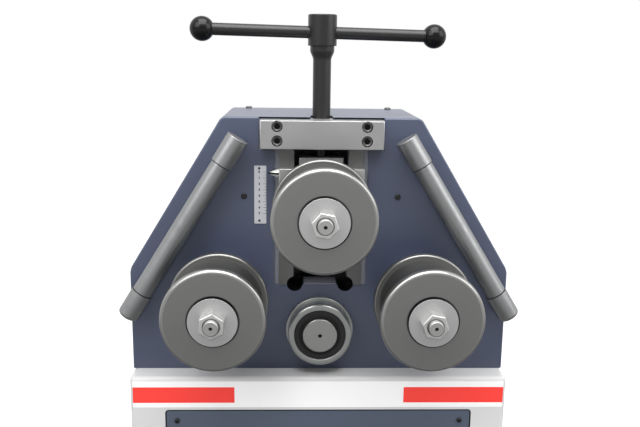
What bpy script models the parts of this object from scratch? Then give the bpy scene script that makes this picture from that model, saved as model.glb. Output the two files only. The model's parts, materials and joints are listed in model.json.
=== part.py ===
"""Three-roll section bender on a sheet-metal stand, in metres, +Z up, the rolls facing -Y.

The machine is laid out about the front face of its head (y = 0), its middle plane (x = 0) and
the height of the two lower roll shafts (z = 0). One empty carries this layout to the floor.
"""

from math import acos, asin, atan2, cos, hypot, pi, radians, sin, sqrt, tan

import bmesh
import bpy
from mathutils import Matrix, Vector

# Fits
GAP = 0.0003
SHEET = 0.003

# Rolls and their shafts
SHAFT_SPAN = 0.330
TOP_ROLL_Z = 0.1515
ROLL_RADIUS = 0.080
GROOVE_DEPTH = 0.009
FLANGE_WIDTH = 0.0145
GROOVE_WIDTH = 0.079
ROLL_REAR = -0.0655
RIM_ROUND = 0.0035
RECESS_RADIUS = 0.040
RECESS_DEPTH = 0.003
WASHER_CLEAR = 0.0022
WASHER_THICK = 0.007
NUT_FLATS = 0.036
NUT_THICK = 0.019
THREAD_RADIUS = 0.012
THREAD_PROUD = 0.0074
ROLL_SEAT_RADIUS = 0.015
SHOULDER_RADIUS = 0.028
SHOULDER_WIDTH = 0.005
JOURNAL_RADIUS = 0.020
TOP_JOURNAL_RADIUS = 0.0175
REAR_JOURNAL_RADIUS = 0.0175

# Head
HEAD_TOP_HALF = 0.1643
HEAD_SHOULDER = 0.0323
GEAR_SIDE_ROOM = 0.02145
GEAR_FOOT_ROOM = 0.01075
HEAD_DEPTH = 0.2176
HEAD_EDGE_ROUND = 0.003
HEAD_CORNER_ROUND = 0.007
PLATE_THICK = 0.040
REAR_PLATE_THICK = 0.016
REAR_PLATE_INSET = 0.0046
SLOT_HALF = 0.045
SLOT_FLOOR = 0.0077
SLOT_RELIEF = 0.0135
SLOT_RELIEF_INSET = 0.002
WINDOW_CLEAR = 0.008
WINDOW_FLOOR = 0.006
HOUSING_RADIUS = 0.056
SPIGOT_RADIUS = 0.040
TIE_RADIUS = 0.012
TIE_FROM_TOP = (0.0443, 0.0453)
TIE_FROM_FOOT = (0.0312, 0.0295)

# Bridge over the slot
BRIDGE_HALF = 0.1006
BRIDGE_FRONT = 0.0243
BRIDGE_HEIGHT = 0.0464
BRIDGE_DROP = 0.0005
BRIDGE_ABOVE_BLOCK = 0.0172
BRIDGE_EDGE = 0.0012
TONGUE_BEHIND = 0.0227
TOP_CUT_CLEAR = 0.0029
TOP_CUT_REAR = 0.0065
NOTCH_CLEAR = 0.0035
BRIDGE_SCREW_FROM_END = 0.0276
BRIDGE_SCREW_INSET = 0.0094
BRIDGE_SCREW_PITCH = 0.0235
SCREW_RADIUS = 0.005
SCREW_HEAD_RADIUS = 0.008
SCREW_HEAD_THICK = 0.010
SCREW_REACH = 0.028

# Guides and carriage
GUIDE_WIDTH = 0.0247
GUIDE_THICK = 0.0047
CARRIAGE_FRONT = 0.022
CARRIAGE_ABOVE = 0.0565
CARRIAGE_BELOW = 0.0595
BLOCK_SIDE_CLEAR = 0.008
BLOCK_RISE = 0.0152
BLOCK_HEIGHT = 0.0302
BLOCK_BEFORE = 0.0253
BLOCK_BEHIND = 0.0247
BOSS_RADIUS = 0.045
BUSH_RADIUS = 0.026
KEEPER_THICK = 0.014
KEEPER_CLEAR = 0.004
KEEPER_BELOW = 0.0515
COLLAR_WIDTH = 0.008

# Lifting spindle
SPINDLE_Y = 0.0333
SHANK_RADIUS = 0.015
ROD_RADIUS = 0.010
BORE_CLEAR = 0.0004
ROD_SEAT_DEPTH = 0.0222
ROD_CLEAR = 0.020
SHANK_TAIL = 0.012
THRUST_WIDTH = 0.008
THRUST_STEP = 0.007
THRUST_DEPTH = 0.0208
SHANK_RISE = 0.0982
TAPER_HEIGHT = 0.011
HUB_COLLAR_HEIGHT = 0.0092
HUB_COLLAR_STEP = 0.005
HUB_HEIGHT = 0.0504
HUB_STEP = 0.0037
HUB_EDGE = 0.0022

# Sliding cross handle
BAR_RADIUS = 0.010
BAR_BELOW_TOP = 0.0291
BAR_YAW = radians(4.5)
BAR_TILT = radians(1.05)
BAR_SHIFT = -0.0041
KNOB_RADIUS = 0.020
KNOB_REACH = 0.1917
KNOB_GRIP = 0.006

# Central drive
DRIVE_DROP = 0.0719375
PINION_TEETH = 20
GEAR_TEETH = 52
PRESSURE_ANGLE = radians(20)
BACKLASH = 0.0005
TOOTH_TIP = 0.95
TOOTH_ROOT = 1.25
GEAR_Y = 0.100
GEAR_WIDTH = 0.030
HUB_RIM_STEP = 0.004
HUB_RING_WALL = 0.0105
HUB_RING_REACH = 0.036
HUB_RIM_REACH = 0.008
SEAL_RADIUS = 0.043
DRIVE_END_RADIUS = 0.029
DRIVE_END_REACH = 0.039

# Side bars
SIDE_TOP_INSET = (0.0291, 0.0310)
SIDE_END_INSET = (-0.0003, 0.0733)
SIDE_BAR_RADIUS = 0.0168
SIDE_BAR_Y = -0.030
SLEEVE_STEP = 0.0016
UPPER_SLEEVE = 0.0505
LOWER_SLEEVE = 0.0486
SPIGOT_PIN_RADIUS = 0.009
SPIGOT_PIN_LENGTH = 0.014
SLEEVE_ROUND = 0.007
STUD_RADIUS = 0.010

# Scale and pointer
SCALE_WIDTH = 0.020
SCALE_LENGTH = 0.0977
SCALE_LEAD = 0.0103
SCALE_CLEAR = 0.0022
SCALE_THICK = 0.001
POINTER_RISE = 0.0485
POINTER_Y = -0.013
POINTER_RADIUS = 0.0062
POINTER_LENGTH = 0.0185

# Gear unit and motor behind the head
REDUCER_HALF = 0.068
REDUCER_SIDE = 0.005
REDUCER_HEIGHT = 0.195
REDUCER_CLEAR = 0.0055
WORM_RISE = 0.067
MOTOR_RADIUS = 0.060
MOTOR_LENGTH = 0.165
FAN_LENGTH = 0.050
FAN_STEP = 0.0025
TERMINAL_SIZE = (0.090, 0.070, 0.042)

# Stand
BASE_INSET = 0.0008
BASE_FRONT = 0.0404
BASE_HEIGHT = 0.700
BASE_DEPTH = 0.395
BASE_ROUND = 0.008
BASE_WALL = 0.004
BASE_FRONT_WALL = 0.0065
FOOT_FLANGE = 0.045
FOOT_THICK = 0.005
FOOT_HOLE_RADIUS = 0.007
PANEL_FROM_SIDE = 0.0604
PANEL_FROM_TOP = 0.0605
PANEL_FROM_FLOOR = 0.0655
PANEL_THICK = 0.0025
PANEL_GAP = 0.002
PANEL_LEDGE = 0.025
GLAND_FROM_SIDE = 0.1004
GLAND_RISE = 0.1255
GLAND_RADIUS = 0.012
GLAND_LENGTH = 0.030

# Derived layout
SHAFT_X = SHAFT_SPAN / 2
CENTRES = hypot(SHAFT_X, DRIVE_DROP)
DRIVE_Z = -DRIVE_DROP
MODULE = 2 * CENTRES / (PINION_TEETH + GEAR_TEETH)
GEAR_TIP = MODULE * (GEAR_TEETH / 2 + TOOTH_TIP)
CORE_RADIUS = ROLL_RADIUS - GROOVE_DEPTH
WASHER_RADIUS = RECESS_RADIUS - WASHER_CLEAR
ROLL_FRONT = ROLL_REAR - 2 * FLANGE_WIDTH - GROOVE_WIDTH
WASHER_BACK = ROLL_FRONT + RECESS_DEPTH - GAP
WASHER_FRONT = WASHER_BACK - WASHER_THICK
NUT_FRONT = WASHER_FRONT - GAP - NUT_THICK
SHAFT_END = NUT_FRONT - THREAD_PROUD
CARRIAGE_TOP = TOP_ROLL_Z + CARRIAGE_ABOVE
CARRIAGE_BOTTOM = TOP_ROLL_Z - CARRIAGE_BELOW
BLOCK_TOP = CARRIAGE_TOP + BLOCK_RISE
BLOCK_BOTTOM = BLOCK_TOP - BLOCK_HEIGHT
BRIDGE_BOTTOM = BLOCK_TOP + BRIDGE_ABOVE_BLOCK
BRIDGE_TOP = BRIDGE_BOTTOM + BRIDGE_HEIGHT
HEAD_TOP = BRIDGE_TOP + BRIDGE_DROP + SHEET
HEAD_HALF = SHAFT_X + GEAR_TIP + GEAR_SIDE_ROOM
BASE_TOP = -(GEAR_TIP + GEAR_FOOT_ROOM)
BASE_HALF = HEAD_HALF - BASE_INSET
FLOOR = BASE_TOP - BASE_HEIGHT
BASE_REAR = BASE_DEPTH - BASE_FRONT
PLATE_FRONT = SHEET + GAP
PLATE_REAR = PLATE_FRONT + PLATE_THICK
REAR_PLATE_END = HEAD_DEPTH - REAR_PLATE_INSET
REAR_PLATE_Y = REAR_PLATE_END - REAR_PLATE_THICK
GUIDE_INNER = SLOT_HALF + GAP
GUIDE_OUTER = GUIDE_INNER + GUIDE_WIDTH
CARRIAGE_HALF = GUIDE_OUTER
WINDOW_HALF = GUIDE_OUTER + WINDOW_CLEAR
BLOCK_HALF = SLOT_HALF - BLOCK_SIDE_CLEAR
BLOCK_FRONT = SPINDLE_Y - BLOCK_BEFORE
BLOCK_REAR = SPINDLE_Y + BLOCK_BEHIND
TONGUE_REAR = SPINDLE_Y + TONGUE_BEHIND
KEEPER_TOP = BLOCK_BOTTOM - KEEPER_CLEAR
TOP_CUT_HALF = BRIDGE_HALF + TOP_CUT_CLEAR
BRIDGE_SCREW_X = BRIDGE_HALF - BRIDGE_SCREW_FROM_END
BRIDGE_SCREW_TOP = BRIDGE_TOP - BRIDGE_SCREW_INSET
BRIDGE_SCREW_Z = (BRIDGE_SCREW_TOP - BRIDGE_SCREW_PITCH, BRIDGE_SCREW_TOP)
THRUST_TOP = BRIDGE_TOP - THRUST_DEPTH
THRUST_BOTTOM = THRUST_TOP - THRUST_WIDTH
THRUST_RADIUS = SHANK_RADIUS + THRUST_STEP
NOTCH_HALF = SHANK_RADIUS + NOTCH_CLEAR
BORE_RADIUS = ROD_RADIUS + BORE_CLEAR
SHANK_BOTTOM = THRUST_BOTTOM - SHANK_TAIL
TAPER_BOTTOM = BRIDGE_TOP + SHANK_RISE
HUB_COLLAR_RADIUS = SHANK_RADIUS + HUB_COLLAR_STEP
HUB_RADIUS = HUB_COLLAR_RADIUS + HUB_STEP
HUB_COLLAR_BOTTOM = TAPER_BOTTOM + TAPER_HEIGHT
HUB_BOTTOM = HUB_COLLAR_BOTTOM + HUB_COLLAR_HEIGHT
HUB_TOP = HUB_BOTTOM + HUB_HEIGHT
BAR_HEIGHT = HUB_TOP - BAR_BELOW_TOP
ROD_BOTTOM = BLOCK_TOP - ROD_SEAT_DEPTH
ROD_TOP = TAPER_BOTTOM - ROD_CLEAR
POINTER_Z = TOP_ROLL_Z + POINTER_RISE
POINTER_TIP = -(CARRIAGE_HALF + GAP + POINTER_LENGTH)
SCALE_RIGHT = POINTER_TIP - SCALE_CLEAR
SCALE_TOP = POINTER_Z + SCALE_LEAD
HUB_RING_RADIUS = SEAL_RADIUS + HUB_RING_WALL
HUB_RIM_RADIUS = HUB_RING_RADIUS + HUB_RIM_STEP
SLEEVE_RADIUS = SIDE_BAR_RADIUS + SLEEVE_STEP
SIDE_TOP = (HEAD_TOP_HALF - SIDE_TOP_INSET[0], HEAD_TOP - SIDE_TOP_INSET[1])
SIDE_END = (HEAD_HALF - SIDE_END_INSET[0], HEAD_SHOULDER - SIDE_END_INSET[1])
UPPER_TIE = (HEAD_TOP_HALF - TIE_FROM_TOP[0], HEAD_TOP - TIE_FROM_TOP[1])
LOWER_TIE = (HEAD_HALF - TIE_FROM_FOOT[0], BASE_TOP + TIE_FROM_FOOT[1])
REDUCER_DEPTH = 2 * (MOTOR_RADIUS + REDUCER_SIDE)
REDUCER_BOTTOM = BASE_TOP + REDUCER_CLEAR
REDUCER_TOP = REDUCER_BOTTOM + REDUCER_HEIGHT
MOTOR_Z = DRIVE_Z + WORM_RISE
FAN_RADIUS = MOTOR_RADIUS + FAN_STEP
PANEL_HALF = BASE_HALF - PANEL_FROM_SIDE
PANEL_TOP = BASE_TOP - PANEL_FROM_TOP
PANEL_BOTTOM = FLOOR + PANEL_FROM_FLOOR
GLAND_X = GLAND_FROM_SIDE - BASE_HALF
GLAND_Z = FLOOR + GLAND_RISE
FRAME_AT = Vector((0, -(SHAFT_END + BASE_REAR + GLAND_LENGTH) / 2, -FLOOR))

ROUND = 28
SMALL = 20
TINY = 14


class Axis:
    """An empty at a place in the machine's layout, which pieces are parented to."""

    def __init__(self, name, at, parent=None, turn=(0, 0, 0)):
        self.at = Vector(at)
        self.empty = bpy.data.objects.new(name, None)
        self.empty.empty_display_size = 0.03
        bpy.context.scene.collection.objects.link(self.empty)
        self.empty.parent = parent.empty if parent else None
        self.empty.location = self.at - parent.at if parent else self.at
        self.empty.rotation_euler = turn


def clear_scene():
    for obj in list(bpy.data.objects):
        bpy.data.objects.remove(obj)


def principled(name, finish):
    """A material of its own for one piece: colour, roughness and metallic value."""
    colour, roughness, metallic = finish
    material = bpy.data.materials.new(name)
    material.use_nodes = True
    shader = material.node_tree.nodes["Principled BSDF"]
    shader.inputs["Base Color"].default_value = (*colour, 1)
    shader.inputs["Roughness"].default_value = roughness
    shader.inputs["Metallic"].default_value = metallic
    material.diffuse_color = (*colour, 1)
    return material


HEAD_PAINT = ((0.088, 0.108, 0.162), 0.42, 0.0)
STAND_PAINT = ((0.78, 0.78, 0.78), 0.45, 0.0)
PANEL_PAINT = ((0.098, 0.115, 0.155), 0.45, 0.0)
TURNED_STEEL = ((0.25, 0.25, 0.25), 0.38, 1.0)
BRIGHT_STEEL = ((0.42, 0.42, 0.42), 0.30, 1.0)
DARK_STEEL = ((0.12, 0.12, 0.12), 0.42, 1.0)
BLACK_OXIDE = ((0.035, 0.035, 0.035), 0.38, 0.6)
GLOSS_BLACK = ((0.012, 0.012, 0.013), 0.18, 0.0)
RUBBER = ((0.02, 0.018, 0.018), 0.65, 0.0)
BRONZE = ((0.45, 0.27, 0.10), 0.35, 1.0)
GREY_CAST = ((0.16, 0.17, 0.18), 0.55, 0.3)
ALUMINIUM = ((0.55, 0.56, 0.60), 0.35, 0.9)
DARK_PLASTIC = ((0.03, 0.03, 0.03), 0.50, 0.0)


def piece(name, bm, finish, axis, smooth=True):
    """Make the solid an object of its own, its origin on the given axis."""
    bmesh.ops.recalc_face_normals(bm, faces=bm.faces)
    mesh = bpy.data.meshes.new(name)
    bmesh.ops.translate(bm, verts=bm.verts, vec=-axis.at)
    bm.to_mesh(mesh)
    bm.free()
    obj = bpy.data.objects.new(name, mesh)
    bpy.context.scene.collection.objects.link(obj)
    obj.parent = axis.empty
    mesh.materials.append(principled(name, finish))
    if smooth:
        mesh.shade_smooth()
        mesh.set_sharp_from_angle(angle=radians(30))
    return obj


def cut(obj, axis, *cutters):
    """Take the cutters' solids out of the object with live Boolean modifiers."""
    for number, bm in enumerate(cutters, start=1):
        combine(obj, axis, bm, "DIFFERENCE", f"cut_{number}")


def fuse(obj, axis, *solids):
    """Join further solids to the object with live Boolean modifiers."""
    for number, bm in enumerate(solids, start=1):
        combine(obj, axis, bm, "UNION", f"join_{number}")


def combine(obj, axis, bm, operation, label):
    tool = piece(f"{obj.name}_{label}", bm, DARK_STEEL, axis, smooth=False)
    tool.hide_render = True
    tool.display_type = "WIRE"
    modifier = obj.modifiers.new(label, "BOOLEAN")
    modifier.operation = operation
    modifier.solver = "EXACT"
    modifier.object = tool


def box(low, high):
    """A closed box between two opposite corners."""
    bm = bmesh.new()
    size = Vector(high) - Vector(low)
    middle = (Vector(high) + Vector(low)) / 2
    bmesh.ops.create_cube(bm, size=1)
    bmesh.ops.scale(bm, verts=bm.verts, vec=size)
    bmesh.ops.translate(bm, verts=bm.verts, vec=middle)
    return bm


def prism(outline, y0, y1):
    """An (x, z) outline extruded along Y."""
    bm = bmesh.new()
    face = bm.faces.new([bm.verts.new((x, y0, z)) for x, z in outline])
    moved = bmesh.ops.extrude_face_region(bm, geom=[face])["geom"]
    far = [v for v in moved if isinstance(v, bmesh.types.BMVert)]
    bmesh.ops.translate(bm, verts=far, vec=(0, y1 - y0, 0))
    return bm


def turned(profile, at, along, segments=ROUND, phase=0.0):
    """A profile of (distance along the axis, radius) spun about a line through a point."""
    bm = bmesh.new()
    ring = [bm.verts.new((radius, 0, step)) for step, radius in profile]
    edges = [bm.edges.new(pair) for pair in zip(ring, ring[1:])]
    if profile[0][1] > 0:
        edges.append(bm.edges.new((ring[-1], ring[0])))
    bmesh.ops.spin(
        bm,
        geom=ring + edges,
        cent=(0, 0, 0),
        axis=(0, 0, 1),
        angle=2 * pi,
        steps=segments,
        use_merge=True,
    )
    bmesh.ops.remove_doubles(bm, verts=bm.verts, dist=1e-7)
    aim = Vector((0, 0, 1)).rotation_difference(Vector(along)).to_matrix().to_4x4()
    turn = Matrix.Rotation(phase, 4, "Z")
    bmesh.ops.transform(bm, matrix=Matrix.Translation(at) @ aim @ turn, verts=bm.verts)
    return bm


def rod(start, end, radius, segments=SMALL):
    """A plain cylinder between two points."""
    line = Vector(end) - Vector(start)
    profile = [(0, 0), (0, radius), (line.length, radius), (line.length, 0)]
    return turned(profile, start, line.normalized(), segments)


def soften(bm, chosen, width, segments=2):
    """Round the chosen edges."""
    edges = [e for e in bm.edges if chosen(e)]
    bmesh.ops.bevel(
        bm,
        geom=edges,
        offset=width,
        segments=segments,
        profile=0.5,
        affect="EDGES",
        material=-1,
        clamp_overlap=True,
    )
    return bm


def runs_along(edge, axis):
    line = (edge.verts[1].co - edge.verts[0].co).normalized()
    return abs(line[axis]) > 0.999


def lies_at(edge, axis, value):
    return all(abs(v.co[axis] - value) < 1e-6 for v in edge.verts)


def head_outline(inset, floor):
    """The head's six-sided outline, moved inwards by the inset, down to the floor given."""
    slope = Vector((HEAD_HALF - HEAD_TOP_HALF, HEAD_SHOULDER - HEAD_TOP)).normalized()
    outward = Vector((-slope.y, slope.x))
    edge = Vector((HEAD_HALF, HEAD_SHOULDER)) - outward * inset
    top = HEAD_TOP - inset
    side = HEAD_HALF - inset
    top_x = edge.x + slope.x * (top - edge.y) / slope.y
    side_z = edge.y + slope.y * (side - edge.x) / slope.x
    right = [(side, floor), (side, side_z), (top_x, top)]
    return right + [(-x, z) for x, z in reversed(right)]


def gear_outline(teeth, middle, tooth_at):
    """Involute teeth about a middle point, one of them centred on the angle given."""
    pitch = MODULE * teeth / 2
    base = pitch * cos(PRESSURE_ANGLE)
    tip = pitch + TOOTH_TIP * MODULE
    root = pitch - TOOTH_ROOT * MODULE
    half = pi / (2 * teeth) - BACKLASH / (2 * pitch)
    start = half + tan(PRESSURE_ANGLE) - PRESSURE_ANGLE
    low = max(base, root) * 1.0005
    flank = []
    for radius in (low, tip):
        pressure = acos(base / radius)
        flank.append((radius, start - (tan(pressure) - pressure)))
    if low > root * 1.002:
        flank.insert(0, (root, flank[0][1]))
    points = []
    for tooth in range(teeth):
        centre = tooth_at + 2 * pi * tooth / teeth
        points += [(radius, centre - angle) for radius, angle in flank]
        points += [(radius, centre + angle) for radius, angle in reversed(flank)]
    x, z = middle
    return [(x + radius * cos(angle), z + radius * sin(angle)) for radius, angle in points]


def roll_segments(label, axis):
    """Front flange, core and rear flange of one grooved roll, clamped together on the shaft."""
    x, _, z = axis.at
    bore = ROLL_SEAT_RADIUS + GAP
    soft = RIM_ROUND
    for side, face, inward, recess in (
        ("front", ROLL_FRONT, 1, RECESS_DEPTH),
        ("rear", ROLL_REAR, -1, 0.001),
    ):
        profile = [
            (face + inward * recess, bore),
            (face + inward * recess, RECESS_RADIUS),
            (face, RECESS_RADIUS),
            (face, ROLL_RADIUS - soft * 0.8),
            (face + inward * soft * 0.8, ROLL_RADIUS),
            (face + inward * (FLANGE_WIDTH - soft * 0.6), ROLL_RADIUS),
            (face + inward * FLANGE_WIDTH, ROLL_RADIUS - soft * 0.6),
            (face + inward * FLANGE_WIDTH, bore),
        ]
        name = f"{label}_roll_{side}_flange"
        piece(name, turned(profile, (x, 0, z), (0, 1, 0)), TURNED_STEEL, axis)
    front = ROLL_FRONT + FLANGE_WIDTH + GAP
    rear = ROLL_REAR - FLANGE_WIDTH - GAP
    core = [(front, bore), (front, CORE_RADIUS), (rear, CORE_RADIUS), (rear, bore)]
    piece(f"{label}_roll_core", turned(core, (x, 0, z), (0, 1, 0)), TURNED_STEEL, axis)


def roll_fixings(label, axis, nut_turn):
    """Washer and hexagon nut on the threaded front end of one roll shaft."""
    x, _, z = axis.at
    bore = THREAD_RADIUS + GAP
    washer = [
        (WASHER_FRONT, bore),
        (WASHER_FRONT, WASHER_RADIUS - 0.0008),
        (WASHER_FRONT + 0.0008, WASHER_RADIUS),
        (WASHER_BACK, WASHER_RADIUS),
        (WASHER_BACK, bore),
    ]
    piece(f"{label}_washer", turned(washer, (x, 0, z), (0, 1, 0)), BRIGHT_STEEL, axis)
    corner = NUT_FLATS / 2 / cos(pi / 6)
    back = WASHER_FRONT - GAP
    solid = [
        (NUT_FRONT, 0),
        (NUT_FRONT, corner * 0.93),
        (NUT_FRONT + 0.0022, corner),
        (back, corner),
        (back, 0),
    ]
    nut = piece(
        f"{label}_nut",
        turned(solid, (x, 0, z), (0, 1, 0), 6, nut_turn),
        BRIGHT_STEEL,
        axis,
    )
    cut(nut, axis, rod((x, NUT_FRONT - 0.01, z), (x, back + 0.01, z), bore))


def front_end(radius):
    """The front stretch of a roll shaft: thread, roll seat and shoulder, up to the journal."""
    seat = WASHER_BACK + 0.0004
    shoulder = ROLL_REAR + GAP
    return [
        (SHAFT_END, 0),
        (SHAFT_END, THREAD_RADIUS - 0.0015),
        (SHAFT_END + 0.0015, THREAD_RADIUS),
        (seat, THREAD_RADIUS),
        (seat, ROLL_SEAT_RADIUS),
        (shoulder, ROLL_SEAT_RADIUS),
        (shoulder, SHOULDER_RADIUS),
        (shoulder + SHOULDER_WIDTH, SHOULDER_RADIUS),
        (shoulder + SHOULDER_WIDTH, radius),
    ]


def lower_roll(side, axis, nut_turn, gap_at):
    """A driven lower roll: its three segments, shaft, washer, nut and the spur gear inside."""
    x, _, z = axis.at
    label = f"lower_{side}"
    shaft = front_end(JOURNAL_RADIUS) + [
        (GEAR_Y + GEAR_WIDTH + 0.002, JOURNAL_RADIUS),
        (GEAR_Y + GEAR_WIDTH + 0.002, REAR_JOURNAL_RADIUS),
        (REAR_PLATE_END - 0.001, REAR_JOURNAL_RADIUS),
        (REAR_PLATE_END - 0.001, 0),
    ]
    piece(f"{label}_shaft", turned(shaft, (x, 0, z), (0, 1, 0), SMALL), BRIGHT_STEEL, axis)
    roll_segments(label, axis)
    roll_fixings(label, axis, nut_turn)
    outline = gear_outline(GEAR_TEETH, (x, z), gap_at + pi / GEAR_TEETH)
    gear = piece(
        f"{label}_gear",
        prism(outline, GEAR_Y, GEAR_Y + GEAR_WIDTH),
        DARK_STEEL,
        axis,
        smooth=False,
    )
    bore = rod(
        (x, GEAR_Y - 0.01, z), (x, GEAR_Y + GEAR_WIDTH + 0.01, z), JOURNAL_RADIUS + GAP
    )
    cut(gear, axis, bore)


def bearing_housing(side, frame, x):
    """Flanged housing on the main plate that carries a lower shaft."""
    front = ROLL_REAR + GAP + SHOULDER_WIDTH + GAP
    bore = JOURNAL_RADIUS + GAP
    profile = [
        (front, bore),
        (front, HOUSING_RADIUS - 0.003),
        (front + 0.003, HOUSING_RADIUS),
        (PLATE_FRONT - GAP, HOUSING_RADIUS),
        (PLATE_FRONT - GAP, SPIGOT_RADIUS),
        (PLATE_REAR + 0.012, SPIGOT_RADIUS),
        (PLATE_REAR + 0.012, bore),
    ]
    piece(f"bearing_housing_{side}", turned(profile, (x, 0, 0), (0, 1, 0), SMALL), GREY_CAST, frame)


def stand(frame):
    """Sheet-metal stand, open underneath, with its front panel and mains inlet."""
    low = (-BASE_HALF, -BASE_FRONT, FLOOR)
    high = (BASE_HALF, BASE_REAR, BASE_TOP)
    body = box(low, high)
    soften(body, lambda e: runs_along(e, 2) or lies_at(e, 2, BASE_TOP), BASE_ROUND)
    cabinet = piece("base_cabinet", body, STAND_PAINT, frame)
    inner_y = (-BASE_FRONT + BASE_FRONT_WALL, BASE_REAR - BASE_WALL)
    inner_x = BASE_HALF - BASE_WALL
    inside = box(
        (-inner_x, inner_y[0], FLOOR + FOOT_THICK), (inner_x, inner_y[1], BASE_TOP - BASE_WALL)
    )
    mouth_x = BASE_HALF - FOOT_FLANGE
    mouth = box(
        (-mouth_x, -BASE_FRONT + FOOT_FLANGE, FLOOR - 0.01),
        (mouth_x, BASE_REAR - FOOT_FLANGE, FLOOR + FOOT_THICK + 0.01),
    )
    ledge_y = -BASE_FRONT + PANEL_THICK + 2 * GAP
    opening = PANEL_HALF + PANEL_GAP
    rebate = box(
        (-opening, -BASE_FRONT - 0.01, PANEL_BOTTOM - PANEL_GAP),
        (opening, ledge_y, PANEL_TOP + PANEL_GAP),
    )
    through = box(
        (-PANEL_HALF + PANEL_LEDGE, -BASE_FRONT - 0.01, PANEL_BOTTOM + PANEL_LEDGE),
        (PANEL_HALF - PANEL_LEDGE, inner_y[0] + 0.01, PANEL_TOP - PANEL_LEDGE),
    )
    cut(cabinet, frame, inside, mouth, rebate, through)
    reach = FOOT_FLANGE / 2 + BASE_WALL / 2
    for x in (-BASE_HALF + reach, BASE_HALF - reach):
        for number, y in enumerate((-BASE_FRONT + reach, BASE_REAR - reach), start=1):
            hole = rod((x, y, FLOOR - 0.01), (x, y, FLOOR + 0.02), FOOT_HOLE_RADIUS, 12)
            combine(cabinet, frame, hole, "DIFFERENCE", f"foot_{'left' if x < 0 else 'right'}_{number}")
    gland_y = BASE_REAR
    inlet = rod(
        (GLAND_X, gland_y - 0.02, GLAND_Z), (GLAND_X, gland_y + 0.01, GLAND_Z), GLAND_RADIUS + GAP, TINY
    )
    combine(cabinet, frame, inlet, "DIFFERENCE", "inlet")
    panel = box(
        (-PANEL_HALF, ledge_y - GAP - PANEL_THICK, PANEL_BOTTOM),
        (PANEL_HALF, ledge_y - GAP, PANEL_TOP),
    )
    soften(panel, lambda e: runs_along(e, 1), 0.004)
    piece("front_access_panel", panel, PANEL_PAINT, frame)
    gland = [
        (-BASE_WALL - 0.010, GLAND_RADIUS * 0.55),
        (-BASE_WALL - 0.010, GLAND_RADIUS),
        (GAP, GLAND_RADIUS),
        (GAP, GLAND_RADIUS * 1.5),
        (GLAND_LENGTH * 0.33, GLAND_RADIUS * 1.5),
        (GLAND_LENGTH * 0.33, GLAND_RADIUS * 1.25),
        (GLAND_LENGTH * 0.87, GLAND_RADIUS * 1.1),
        (GLAND_LENGTH, GLAND_RADIUS * 0.55),
    ]
    piece(
        "mains_inlet_gland",
        turned(gland, (GLAND_X, gland_y, GLAND_Z), (0, 1, 0), TINY),
        DARK_PLASTIC,
        frame,
    )


def slot_corners(front):
    """Round reliefs at the slot's two lower corners, from a front face back through the plate."""
    return [
        rod((x, front - 0.01, SLOT_FLOOR), (x, PLATE_REAR + 0.01, SLOT_FLOOR), SLOT_RELIEF)
        for x in (-SLOT_HALF + SLOT_RELIEF_INSET, SLOT_HALF - SLOT_RELIEF_INSET)
    ]


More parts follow.
